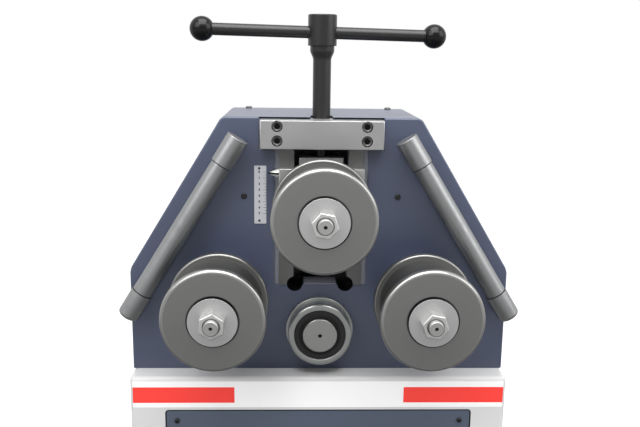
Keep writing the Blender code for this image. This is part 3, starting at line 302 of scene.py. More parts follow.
@dataclass(frozen=True)
class Finish:
    """A surface's plain shader values; its kinds add the nodes that vary it."""

    name: str
    colour: str
    second: str
    roughness: float
    metallic: float = 0.0
    shine: float = 0.5
    swing: float = 0.05
    shade: Shade | None = None

    def material(self) -> bpy.types.Material:
        """Make the material once, and give the same one again later.

        Returns:
            The Blender material.
        """
        known = bpy.data.materials.get(self.name)
        if known:
            return known
        made = bpy.data.materials.new(self.name)
        made.use_nodes = True
        made.diffuse_color = linear(self.colour)
        graph = Graph(made.node_tree)
        shader = made.node_tree.nodes["Principled BSDF"]
        shader.inputs["Base Color"].default_value = linear(self.colour)
        shader.inputs["Roughness"].default_value = self.roughness
        shader.inputs["Metallic"].default_value = self.metallic
        shader.inputs["Specular IOR Level"].default_value = self.shine
        on = Surface(graph.tree, shader, graph.put("TexCoord").outputs["Object"])
        self.dress(on)
        if self.shade:
            self.shade.draw(on)
        return made

    def dress(self, on: Surface) -> None:
        """Add the nodes that vary the surface."""
        raise NotImplementedError

    def vary(self, on: Surface, tone: Socket, sheen: Socket, relief: Socket, depth: float) -> None:
        """Feed colour, roughness and bump from three patterns.

        Args:
            on: The surface.
            tone: Pattern that mixes the two colours.
            sheen: Pattern that moves the roughness, by the swing each way.
            relief: Pattern that raises the surface.
            depth: The relief's height in metres.
        """
        on.feed("Base Color", on.blended(tone, linear(self.colour), linear(self.second)))
        onto = (self.roughness - self.swing, self.roughness + self.swing)
        on.feed("Roughness", on.ranged(sheen, NOISE_SPAN, onto, clamp=False))
        bump = on.put("Bump", {"Height": relief, "Distance": depth, "Strength": 1.0})
        on.feed("Normal", bump.outputs["Normal"])


@dataclass(frozen=True)
class PowderCoat(Finish):
    """Polyester powder coat on steel sheet: even colour, satin gloss and a fine orange peel."""

    swing: float = 0.010
    peel: float = 1.8 * MM
    peel_depth: float = 0.006 * MM
    cloud: float = 90 * MM

    def dress(self, on: Surface) -> None:
        """Add slow clouding and the peel."""
        cloud = on.noise(1 / self.cloud, 2.0)
        self.vary(on, cloud, cloud, on.noise(1 / self.peel, 1.0), self.peel_depth)


@dataclass(frozen=True)
class TurnedSteel(Finish):
    """Lathe-turned carbon steel: fine rings about its axis, on faces and round the sides.

    The rings are drawn coarser than a real cut, which would be too fine to show.
    """

    swing: float = 0.04
    centre: Point = (0.0, 0.0, 0.0)
    axis: Point = (0.0, 1.0, 0.0)
    pitch: float = 0.9 * MM
    groove: float = 0.004 * MM
    band: float = 0.12
    smudges: float = 30.0
    smudge_share: float = 0.35
    # Past these radii another colour and roughness take over; the colour paints a highlight on the
    # rolls' rims and shade on washers and shafts.
    rim: Pair = (0.0, 0.0)
    rim_colour: str = "9A9A98"
    rim_roughness: float = 0.31

    def dress(self, on: Surface) -> None:
        """Add rings by distance along and from the axis, and past the rim radii another colour and
        roughness, whose colour is painted light: a highlight on the rolls' rims, shade on the washers'
        and shafts' sides.

        Args:
            on: The surface.
        """
        place = on.vector("SUBTRACT", on.spot, self.centre)[0]
        along = on.vector("DOT_PRODUCT", place, self.axis)["Value"]
        side = on.vector("CROSS_PRODUCT", place, self.axis)[0]
        away = on.vector("LENGTH", side)["Value"]
        way = on.calc("ADD", along, away)
        rings = on.bands(way, 1 / self.pitch, 2.0)
        smudge = on.noise(self.smudges, 3.0)
        tone = on.put("Mix", {0: self.smudge_share, 2: rings, 3: smudge}).outputs[0]
        self.vary(on, tone, on.bands(way, self.band / self.pitch, 1.0), rings, self.groove)
        if self.rim[1] > 0:
            past = on.ranged(away, self.rim)
            on.feed("Base Color", on.blended(past, on.fed("Base Color"), linear(self.rim_colour)))
            sheen = on.put("Mix", {0: past, 2: on.fed("Roughness"), 3: self.rim_roughness})
            on.feed("Roughness", sheen.outputs[0])


@dataclass(frozen=True)
class WorkedSteel(Finish):
    """Ground or milled steel plate: straight fine lines with slow patches of sheen.

    The lines are drawn coarser than real ones, which would be too fine to show.
    """

    grain: Grain = Grain.ALONG_X
    line: float = 0.8 * MM
    groove: float = 0.006 * MM
    patches: float = 22.0

    def dress(self, on: Surface) -> None:
        """Add lines along the grain.

        Args:
            on: The surface.
        """
        drawn = on.put("Mapping", {"Vector": on.spot, "Scale": self.grain.value}).outputs[0]
        lines = on.noise(1 / self.line, 3.0, drawn)
        self.vary(on, lines, on.noise(self.patches, 3.0), lines, self.groove)


@dataclass(frozen=True)
class BlackOxide(Finish):
    """Hot-blackened steel: near black with soft oily patches over machining marks.

    The marks are drawn coarser than real ones.
    """

    swing: float = 0.02
    patch: float = 14 * MM
    mark: float = 0.8 * MM
    mark_depth: float = 0.008 * MM

    def dress(self, on: Surface) -> None:
        """Add soft patches and fine marks."""
        patch = on.noise(1 / self.patch, 4.0)
        self.vary(on, patch, patch, on.noise(1 / self.mark, 2.0), self.mark_depth)


@dataclass(frozen=True)
class Moulded(Finish):
    """Moulded plastic or rubber: one colour with a grained or polished mould surface.

    The grain is drawn coarser than a real mould's.
    """

    swing: float = 0.03
    grit: float = 0.9 * MM
    depth: float = 0.01 * MM
    clouds: float = 45.0

    def dress(self, on: Surface) -> None:
        """Add the mould's grain and slow gloss changes."""
        slow = on.noise(self.clouds, 2.0)
        self.vary(on, slow, slow, on.noise(1 / self.grit, 1.0), self.depth)


@dataclass(frozen=True)
class SandCast(Finish):
    """Painted grey iron from a sand mould: a coarse, soft grain under the paint."""

    sand: float = 2.2 * MM
    depth: float = 0.12 * MM
    clouds: float = 18.0

    def dress(self, on: Surface) -> None:
        """Add the sand's grain and broad unevenness."""
        sand = on.noise(1 / self.sand, 3.0)
        self.vary(on, on.noise(self.clouds, 3.0), sand, sand, self.depth)


@dataclass(frozen=True)
class IndexedSteel(Finish):
    """Turned pointer steel with a black index line filled in along its middle."""

    swing: float = 0.04
    height: float = 0.0
    line: float = 1.5 * MM
    fade: float = 1.2
    mark: float = 0.7 * MM
    mark_depth: float = 0.004 * MM

    def dress(self, on: Surface) -> None:
        """Add the index line at one height over fine marks.

        Args:
            on: The surface.
        """
        marks = on.noise(1 / self.mark, 2.0)
        self.vary(on, marks, marks, marks, self.mark_depth)
        far = on.calc("ABSOLUTE", on.calc("SUBTRACT", on.separated(on.spot)["Z"], self.height))
        inside = on.ranged(far, (self.line, self.line * self.fade), (1.0, 0.0))
        on.feed("Base Color", on.blended(inside, on.fed("Base Color"), linear("0B0B0B")))


# Polyester powder coat on folded sheet: an even satin blue-grey with a faint orange peel.
HEAD_PAINT = PowderCoat("head_blue_grey_powder_coat", "464D61", "43495C", 0.31)
# The same coat on the front panel, a little greyer.
PANEL_PAINT = PowderCoat("panel_blue_grey_powder_coat", "4B5364", "474F5F", 0.42)
# Light grey powder coat: plain and soft, so that the folds show by their shading.
STAND_PAINT = PowderCoat("stand_light_grey_powder_coat", "C8C8C8", "C3C3C3", 0.52)
# Cast vinyl film in white and red: flatter and glossier than the coat under it.
BAND_WHITE = PowderCoat("band_white_vinyl", "F1F1F1", "EDEDED", 0.22, peel_depth=0.004 * MM)
BAND_RED = PowderCoat("band_red_vinyl", "F33E36", "EF3931", 0.24, peel_depth=0.004 * MM)
# Surface-ground steel: satin grey with fine lines along the bar.
BRIDGE_STEEL = WorkedSteel("bridge_ground_steel", "ACACAC", "A6A6A6", 0.40, 0.85)
# Ground guide strips, darker than the bridge's steel.
GUIDE_STEEL = WorkedSteel("guide_ground_steel", "767675", "6E6E6D", 0.42, 0.85, grain=Grain.ALONG_Z)
# Milled steel with a cutter's wider lines.
SLIDE_STEEL = WorkedSteel(
    "carriage_milled_steel", "B4B4B3", "A8A8A7", 0.40, 0.85, line=1.2 * MM, groove=0.01 * MM
)
# Rear mill plate: dull and primed.
REAR_STEEL = WorkedSteel(
    "plate_primed_mill_steel", "6E7079", "666872", 0.50, 0.4, grain=Grain.EVEN, line=4 * MM
)
# Hobbed gears and rods under a film of oil: brownish grey with uneven sheen.
GEAR_STEEL = WorkedSteel("gear_oiled_steel", "7C7B78", "6C6B68", 0.36, 1.0, grain=Grain.EVEN)
# Hot-blackened steel: charcoal with a soft oily sheen.
BLACK_STEEL = BlackOxide("blackened_steel", "222222", "1D1D1D", 0.33, 0.2)
# The same on screws, but grey.
SCREW_BLACK = BlackOxide("screw_blackened_steel", "6A6A69", "545453", 0.32, 0.6, patch=4 * MM)
# Polished phenolic ball: black with a clear, soft reflection.
KNOB_BLACK = Moulded(
    "knob_polished_phenolic", "0A0A0B", "080809", 0.22, shine=0.26, grit=3 * MM, depth=0.002 * MM
)
# A black strip in the gap round the front panel: painted shade as a dark line that hardly shines.
PANEL_GAP_SHADE = Moulded("panel_gap_painted_shade", "0B0B0C", "09090A", 0.60, shine=0.3)
# Nitrile rubber: matt black that takes no sharp light.
SEAL_RUBBER = Moulded("seal_nitrile_rubber", "1C1A1A", "181616", 0.62)
# Moulded nylon with the mould's fine grain.
DARK_PLASTIC = Moulded("moulded_black_nylon", "2A2A2B", "252526", 0.50)
# Screen-printed ink: flat black.
PRINT_BLACK = Moulded("printed_ink", "14151A", "101115", 0.55)
# Brushed and anodised aluminium sheet: pale silver with lines down its length.
SCALE_SILVER = WorkedSteel(
    "scale_anodised_aluminium", "C2C3C8", "BABBC0", 0.42, 0.25, grain=Grain.ALONG_Z, line=0.6 * MM
)
# Turned bearing bronze: warm and oiled.
BRONZE = WorkedSteel("bearing_bronze", "B48A4E", "A07A44", 0.35, 1.0, grain=Grain.EVEN)
# Painted sand casting: the sand's grain shows through the paint.
CAST_IRON = SandCast("painted_cast_iron", "595F69", "4E545D", 0.50, 0.0)
# Painted pressure casting: finer grain, a little glossier.
MOTOR_PAINT = SandCast(
    "motor_painted_aluminium", "5A6271", "525A68", 0.45, 0.0, sand=1.4 * MM, depth=0.05 * MM
)
# Bright zinc plating with a faint uneven grey.
ZINC = WorkedSteel("zinc_plated_steel", "B4B4B0", "9F9F98", 0.34, 0.9, grain=Grain.EVEN)


# Shapes


def on_plane(axis: Axis, at: float) -> Choice:
    """Choose the edges that lie in a plane.

    Args:
        axis: The axis that the plane crosses.
        at: Where it crosses.

    Returns:
        The test of an edge.
    """
    return lambda edge: all(abs(vert.co[axis] - at) < TOUCH for vert in edge.verts)


def spans(axis: Axis, over: float = 10 * TOUCH) -> Choice:
    """Choose the edges that run along an axis for more than a length.

    Args:
        axis: The axis.
        over: The length.

    Returns:
        The test of an edge.
    """
    return lambda edge: abs(edge.verts[0].co[axis] - edge.verts[1].co[axis]) > over


def softened(shape: Shape, chosen: Choice, width: float, segments: int = 3) -> Shape:
    """Round the chosen edges.

    Args:
        shape: The shape to change.
        chosen: Says which edges to round.
        width: The round's width.
        segments: Facets across it.

    Returns:
        The same shape.
    """
    bmesh.ops.bevel(
        shape, geom=[e for e in shape.edges if chosen(e)], offset=width, segments=segments, profile=0.5,
        affect="EDGES", material=-1, clamp_overlap=True,
    )
    return shape


def box(low: Sequence[float], high: Sequence[float]) -> Shape:
    """A closed box between two corners.

    Args:
        low: The lowest corner.
        high: The highest corner.

    Returns:
        The shape.
    """
    shape = bmesh.new()
    bmesh.ops.create_cube(shape, size=1)
    bmesh.ops.scale(shape, verts=shape.verts, vec=Vector(high) - Vector(low))
    bmesh.ops.translate(shape, verts=shape.verts, vec=(Vector(high) + Vector(low)) / 2)
    return shape


def wide(half: float, depth: Pair, height: Pair) -> Shape:
    """A closed box that reaches as far left as right.

    Args:
        half: Half its width.
        depth: Y of its front and rear.
        height: Z of its bottom and top.

    Returns:
        The shape.
    """
    return box((-half, depth[0], height[0]), (half, depth[1], height[1]))


def slab(outline: Profile, near: float, far: float) -> Shape:
    """An (x, z) outline extruded along y.

    Args:
        outline: The corners in order.
        near: The y of the first face.
        far: The y of the second.

    Returns:
        The shape.
    """
    shape = bmesh.new()
    face = shape.faces.new([shape.verts.new((x, near, z)) for x, z in outline])
    moved = bmesh.ops.extrude_face_region(shape, geom=[face])["geom"]
    verts = [v for v in moved if isinstance(v, bmesh.types.BMVert)]
    bmesh.ops.translate(shape, verts=verts, vec=(0, far - near, 0))
    return shape


def ring(near: float, far: float, outer: float, inner: float = 0) -> list[Pair]:
    """The profile of a plain ring or disc.

    Args:
        near: Where it starts along its line.
        far: Where it ends.
        outer: Its outer radius.
        inner: Its inner radius.

    Returns:
        The profile.
    """
    return [(near, inner), (near, outer), (far, outer), (far, inner)]


def spun(
    profile: Profile, at: Sequence[float], along: Sequence[float], steps: int = Facets.BODY,
    phase: float = 0.0, rounds: Iterable[Round] = (),
) -> Shape:
    """A profile spun about a line, with some of its ring edges rounded.

    Args:
        profile: Points of (distance along the line, radius).
        at: The line's zero point.
        along: The line's direction.
        steps: Facets in the turn.
        phase: Turn of the first facet about the line.
        rounds: Ring edges as (distance, radius, width of the round, segments).

    Returns:
        The shape.
    """
    shape = bmesh.new()
    dots = [shape.verts.new((radius, 0, step)) for step, radius in profile]
    edges = [shape.edges.new(pair) for pair in zip(dots, dots[1:])]
    if profile[0][1] > 0:
        edges.append(shape.edges.new((dots[-1], dots[0])))
    bmesh.ops.spin(
        shape, geom=dots + edges, cent=(0, 0, 0), axis=UP, angle=2 * pi, steps=steps, use_merge=True
    )
    bmesh.ops.remove_doubles(shape, verts=shape.verts, dist=TOUCH)
    bmesh.ops.recalc_face_normals(shape, faces=shape.faces)
    for step, radius, width, segments in rounds:
        softened(
            shape,
            lambda e: all(
                abs(v.co.z - step) < 10 * TOUCH and abs(hypot(v.co.x, v.co.y) - radius) < 10 * TOUCH
                for v in e.verts
            ),
            width, segments,
        )
    aim = Vector(UP).rotation_difference(Vector(along)).to_matrix().to_4x4()
    place = Matrix.Translation(at) @ aim @ Matrix.Rotation(phase, 4, "Z")
    bmesh.ops.transform(shape, matrix=place, verts=shape.verts)
    return shape


def rod(
    start: Sequence[float], end: Sequence[float], radius: float, steps: int = Facets.SCREW,
    phase: float = 0.0, soft: float = 0.0,
) -> Shape:
    """A round or six-sided bar between two points.

    Args:
        start: The first end's centre.
        end: The second end's centre.
        radius: The corner radius.
        steps: Sides.
        phase: Turn about the line.
        soft: Width of the round at both ends.

    Returns:
        The shape.
    """
    line = Vector(end) - Vector(start)
    length = line.length
    rounds = [(at, radius, soft, 3) for at in (0, length)] if soft else []
    return spun(ring(0, length, radius), start, line.normalized(), steps, phase, rounds)


def turned_about(shape: Shape, at: Sequence[float], turn: float) -> Shape:
    """Turn a shape about the x axis and then carry it to a place.

    Args:
        shape: The shape to change.
        at: The place.
        turn: The angle.

    Returns:
        The same shape.
    """
    place = Matrix.Translation(at) @ Matrix.Rotation(turn, 4, "X")
    bmesh.ops.transform(shape, matrix=place, verts=shape.verts)
    return shape


def as_object(shape: Shape, name: str) -> bpy.types.Object:
    """Put a shape in the scene.

    Args:
        shape: The shape, which is used up.
        name: The object's name.

    Returns:
        The object.
    """
    mesh = bpy.data.meshes.new(name)
    shape.to_mesh(mesh)
    shape.free()
    thing = bpy.data.objects.new(name, mesh)
    bpy.context.scene.collection.objects.link(thing)
    return thing


def as_shape(thing: bpy.types.Object) -> Shape:
    """Read an object's finished mesh as a shape, with its doubled points joined.

    Args:
        thing: The object.

    Returns:
        The shape.
    """
    bpy.context.view_layer.update()
    shape = bmesh.new()
    shape.from_mesh(thing.evaluated_get(bpy.context.evaluated_depsgraph_get()).to_mesh())
    bmesh.ops.remove_doubles(shape, verts=shape.verts, dist=TOUCH)
    return shape


def merged(shapes: Sequence[Shape]) -> Shape:
    """Put several closed shapes in one, as they are.

    Args:
        shapes: The shapes, which are used up.

    Returns:
        One shape.
    """
    first = shapes[0]
    for other in shapes[1:]:
        mesh = bpy.data.meshes.new("part")
        other.to_mesh(mesh)
        other.free()
        first.from_mesh(mesh)
        bpy.data.meshes.remove(mesh)
    return first


def combined(base: Shape, tools: Sequence[Shape], operation: str = "DIFFERENCE") -> Shape:
    """Cut closed shapes out of a base, or join them to it.

    Args:
        base: The shape to change, which is used up.
        tools: The other shapes, which are used up.
        operation: DIFFERENCE, UNION or INTERSECT.

    Returns:
        The new shape.
    """
    made = []
    for shape in (base, *tools):
        bmesh.ops.recalc_face_normals(shape, faces=shape.faces)
        made.append(as_object(shape, "solid"))
    for tool in made[1:]:
        step = made[0].modifiers.new("step", "BOOLEAN")
        step.operation, step.solver, step.object = operation, "EXACT", tool
    result = as_shape(made[0])
    for solid in made:
        mesh = solid.data
        bpy.data.objects.remove(solid)
        bpy.data.meshes.remove(mesh)
    return result


def fastener(
    at: Sequence[float], along: Sequence[float], size: Pair, drive: Drive = Drive.SOCKET,
    phase: float = 0.0,
) -> Shape:
    """A screw's or rivet's domed head that stands on a face.

    Args:
        at: The centre of its seat.
        along: The way out of the face.
        size: The head's radius and height.
        drive: The recess in its top.
        phase: Turn of the recess.

    Returns:
        The shape.
    """
    radius, height = size
    sunk, dome, deep, recess = 0.0004, 0.6, 0.55, radius * 0.5
    profile = ring(-sunk, height, radius)
    head = spun(profile, at, along, Facets.HEAD, rounds=[(height, radius, height * dome, 5)])
    if drive is Drive.NONE:
        return head
    out = Vector(along).normalized()
    top = Vector(at) + out * height
    socket = rod(top + out * OVER, top - out * height * deep, recess, drive.value, phase)
    return combined(head, [socket])


def hexagon_bolt(at: Sequence[float], along: Sequence[float], flats: float, height: float) -> Shape:
    """A hexagon head with its chamfered top, on a washer.

    Args:
        at: The centre of its seat.
        along: The way out of the face.
        flats: Width across flats.
        height: The head's height.

    Returns:
        The shape.
    """
    half = flats / 2
    corner = half / cos(pi / 6)
    thick, sunk, edge, turn = 0.0016, 0.0003, 0.0004, 0.3
    top = thick + height
    below, clear, slope, flat = thick - OVER, corner * 1.1, height * 0.72, half * 0.93
    limit = [(below, 0), (below, clear), (thick + slope, clear), (top, flat), (top, 0)]
    head = spun(ring(thick, top, corner), at, along, Facets.HEXAGON, turn)
    hexagon = combined(head, [spun(limit, at, along, Facets.SMALL)], "INTERSECT")
    washer = ring(-sunk, thick, flats)
    return merged([hexagon, spun(washer, at, along, Facets.SMALL, rounds=[(thick, flats, edge, 2)])])


@dataclass
class SubAssembly:
    """A group of pieces; it carries its shapes to the frame, dresses them and sets them riding."""

    origin: Vector

    def make(
        self, name: str, shape: Shape, finish: Finish, slot: str, *nodes: str, body: Body = Body.MACHINE
    ) -> None:
        """Make a finished piece of a shape.

        Args:
            name: The piece's name.
            shape: Its shape in the machine's layout, which is used up.
            finish: Its finish.
            slot: The record's material slot; not used.
            *nodes: The frame's nodes that it stands for.
            body: The moving group that it rides on.
        """
        bmesh.ops.recalc_face_normals(shape, faces=shape.faces)
        bmesh.ops.translate(shape, verts=shape.verts, vec=self.origin)
        piece = as_object(shape, name)
        mesh = piece.data
        mesh.shade_smooth()
        mesh.set_sharp_from_angle(angle=SHARP)
        mesh.materials.append(finish.material())
        flat = piece.modifiers.new("flat_faces_stay_flat", "WEIGHTED_NORMAL")
        flat.keep_sharp = True
        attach(piece, body.value)
        if nodes:
            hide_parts(*nodes)
        LOG.info("%s: %d faces on %s", name, len(mesh.polygons), body.value)

    def replace(
        self, node: str, made: str, shape: Shape, finish: Finish, slot: str, body: Body = Body.MACHINE
    ) -> None:
        """Make the piece that stands for one node and is named after it."""
        self.make(f"{node}_{made}", shape, finish, slot, node, body=body)

    def keep(self, finish: Finish, *nodes: str) -> None:
        """Give frame nodes whose shape is right their finish.

        Args:
            finish: The finish.
            *nodes: The nodes' names.
        """
        for node in nodes:
            slots = frame["nodes"][node].data.materials
            slots.clear()
            slots.append(finish.material())
            LOG.info("%s: kept, in %s", node, finish.name)

    def turned_finish(
        self, name: str, colours: tuple[str, str], rough: float, at: Sequence[float],
        **more: str | float | tuple[float, ...],
    ) -> TurnedSteel:
        """A turned-steel finish whose rings run about a line in the layout."""
        centre = tuple(Vector(at) + self.origin)
        return TurnedSteel(name, *colours, rough, TURNED_METAL, centre=centre, **more)


@dataclass
class Roll(SubAssembly):
    """One grooved roll: two flanges and a core on a threaded shaft, with washer and nut."""

    label: str
    body: Body
    x: float
    z: float
    nut_turn: float
    journal: Profile
    rear: float = -0.0655
    flange_width: float = 0.0145
    groove: float = 0.079
    radius: float = 0.080
    core: float = 0.071
    rim: float = 0.0056
    inner_rim_share: float = 0.6
    # Where the rim's painted highlight starts and where it is full, about the start of its round.
    worn_rim: Pair = (-0.0006, 0.0004)
    recess_radius: float = 0.040
    recess_depth: float = 0.003
    rear_recess_depth: float = 0.001
    recess_edge: float = 0.0005
    trench: float = 0.004
    trench_inner: float = 0.0374
    washer_radius: float = 0.0378
    washer_thick: float = 0.007
    washer_edge: float = 0.0008
    # The band where the washer's side is painted in shade.
    washer_rim: Pair = (0.0373, 0.0376)
    nut_flats: float = 0.036
    nut_thick: float = 0.019
    nut_edge: float = 0.0014
    nut_cone: Pair = (0.0039, 0.0013)
    nut_clear: Pair = (0.010, 1.05)
    nut_mouth: Pair = (0.0018, 0.0012)
    thread: float = 0.012
    thread_pitch: float = 0.003
    thread_proud: float = 0.0074
    thread_stop: float = 0.001
    thread_depth: float = 0.0013
    thread_flats: Pair = (0.0002, 0.0003)
    # The band from which the shaft is painted in shade, out from the thread.
    thread_rim: Pair = (0.0108, 0.0116)
    chamfer: float = 0.0016
    centre_hole: Point = (0.022, 0.0022, 0.0030)
    seat: float = 0.015
    seat_start: float = 0.0004
    shoulder: float = 0.028
    shoulder_width: float = 0.005

    def __post_init__(self) -> None:
        """Work out the places along the shaft."""
        self.front = self.rear - 2 * self.flange_width - self.groove
        self.washer_back = self.front + self.recess_depth - GAP
        self.washer_front = self.washer_back - self.washer_thick
        self.nut_front = self.washer_front - GAP - self.nut_thick
        self.end = self.nut_front - self.thread_proud
        self.at = (self.x, 0.0, self.z)

    def steel(
        self, part: str, colours: tuple[str, str], rough: float, **more: str | float | Pair
    ) -> TurnedSteel:
        """A turned finish for one of the roll's pieces."""
        return self.turned_finish(f"{self.label}_{part}_steel", colours, rough, self.at, **more)

    def turned(self, profile: Profile, steps: int, rounds: Iterable[Round] = ()) -> Shape:
        """Spin a profile about the roll's line."""
        return spun(profile, self.at, BACK, steps, rounds=rounds)

    def build(self) -> None:
        """Build every piece of the roll."""
        edge = self.radius - self.rim
        painted_light = (edge + self.worn_rim[0], edge + self.worn_rim[1])
        # Lathe-turned faces: dull mid grey. Their rims carry a painted highlight in a lighter colour,
        # brighter on the front flange than on the rear one, at a lower roughness.
        for place, near, inward, recess, colour, rough in (
            ("front", self.front, 1, self.recess_depth, "9A9A98", 0.31),
            ("rear", self.rear, -1, self.rear_recess_depth, "848482", 0.36),
        ):
            face = self.steel(
                f"{place}_flange_turned", ("868685", "80807F"), 0.43, rim=painted_light, rim_colour=colour,
                rim_roughness=rough,
            )
            self.make_flange(place, near, inward, recess, face)
        self.make_core()
        self.make_washer()
        self.make_nut()
        self.make_shaft()

    def make_flange(self, place: str, near: float, inward: int, recess: float, face: Finish) -> None:
        """Build one flange with its rounded outer rim.

        Args:
            place: Front or rear.
            near: The y of its open face.
            inward: Which way along y the groove lies.
            recess: Depth of the recess round the bore.
            face: Its finish.
        """
        far = near + inward * self.flange_width
        floor = near + inward * recess
        bore = self.seat + GAP
        profile = [(floor, bore), (floor, self.trench_inner)]
        if recess == self.recess_depth:
            deep = floor + self.trench
            profile += [(deep, self.trench_inner), (deep, self.recess_radius)]
        else:
            profile.append((floor, self.recess_radius))
        profile += [(near, self.recess_radius), (near, self.radius), (far, self.radius), (far, bore)]
        rounds = [
            (near, self.radius, self.rim, 6), (far, self.radius, self.rim * self.inner_rim_share, 4),
            (near, self.recess_radius, self.recess_edge, 2),
        ]
        node = f"{self.label}_roll_{place}_flange"
        shape = self.turned(profile, Facets.ROLL, rounds)
        self.replace(node, "turned", shape, face, "turned_steel", self.body)

    def make_core(self) -> None:
        """Build the groove's drum."""
        # The groove's floor is darker than the faces: painted shade between the flanges.
        skin = self.steel("groove_turned", ("5E5E5D", "585857"), 0.46)
        front = self.front + self.flange_width + GAP
        rear = self.rear - self.flange_width - GAP
        shape = self.turned(ring(front, rear, self.core, self.seat + GAP), Facets.ROLL)
        node = f"{self.label}_roll_core"
        self.replace(node, "turned", shape, skin, "turned_steel", self.body)

    def make_washer(self) -> None:
        """Build the thick washer in the roll's recess."""
        # Turned and wiped bright on its face; its side carries painted shade in near black.
        wiped_with_side_shade = self.steel(
            "washer_turned", ("C4C4C4", "BCBCBC"), 0.40, rim=self.washer_rim, rim_colour="2C2C2C",
            rim_roughness=0.5,
        )
        near = self.washer_front
        profile = ring(near, self.washer_back, self.washer_radius, self.thread + GAP)
        shape = self.turned(profile, Facets.RING, [(near, self.washer_radius, self.washer_edge, 3)])
        node = f"{self.label}_washer"
        self.replace(node, "turned", shape, wiped_with_side_shade, "bright_steel", self.body)

    def make_nut(self) -> None:
        """Build the hexagon nut, its corners cut back by a cone and its bore countersunk."""
        # Machined and bright: each flat catches the light by itself.
        bright = self.steel("nut_machined", ("D8D8D6", "CCCCCA"), 0.34)
        half = self.nut_flats / 2
        corner = half / cos(pi / 6)
        near, back = self.nut_front, self.washer_front - GAP
        before, behind = near - OVER, back + OVER
        inward, slope = self.nut_cone
        reach, clear = near + self.nut_clear[0], corner * self.nut_clear[1]
        cone = [
            (before, 0), (before, corner - inward), (near + slope, corner), (reach, clear),
            (behind, clear), (behind, 0),
        ]
        hexagon = spun(ring(near, back, corner), self.at, BACK, Facets.HEXAGON, self.nut_turn)
        softened(
            hexagon,
            lambda e: on_plane(Axis.Y, near)(e) and all(
                hypot(v.co.x - self.x, v.co.z - self.z) > half for v in e.verts
            ),
            self.nut_edge,
        )
        shape = combined(hexagon, [self.turned(cone, Facets.BODY)], "INTERSECT")
        bore = self.thread + GAP
        wider, deeper = self.nut_mouth
        hole = [
            (before, 0), (before, bore + wider), (near + deeper, bore), (behind + OVER, bore),
            (behind + OVER, 0),
        ]
        shape = combined(shape, [self.turned(hole, Facets.SHAFT)])
        self.replace(f"{self.label}_nut", "machined", shape, bright, "bright_steel", self.body)

    def make_shaft(self) -> None:
        """Build the shaft: centre hole, chamfered thread, seat, shoulder and journals."""
        # A faced bar end, pale and satin; the thread and all that is wider carry painted shade in a
        # darker grey, at a higher roughness.
        faced = self.steel(
            "shaft_turned", ("B4B4B3", "AAAAA9"), 0.44, rim=self.thread_rim, rim_colour="6C6C6B",
            rim_roughness=0.5,
        )
        end, crest = self.end, self.thread
        seat = self.washer_back + self.seat_start
        behind = self.rear + GAP
        deep, hole, mouth = self.centre_hole
        start = end + self.chamfer
        root = crest - self.thread_depth
        valley, top = self.thread_flats
        profile = [(end + deep, 0), (end + deep, hole), (start, hole), (end, mouth)]
        profile += [(end, crest - self.chamfer), (start, crest)]
        while start + self.thread_pitch < seat - self.thread_stop:
            middle = start + self.thread_pitch / 2
            profile += [(middle - valley, root), (middle + valley, root)]
            start += self.thread_pitch
            profile += [(start - top, crest), (start, crest)]
        profile += [(seat, crest), (seat, self.seat), (behind, self.seat), (behind, self.shoulder)]
        profile += [(behind + self.shoulder_width, self.shoulder), *self.journal]
        node = f"{self.label}_shaft"
        self.replace(
            node, "turned", self.turned(profile, Facets.SHAFT), faced, "bright_steel", self.body
        )


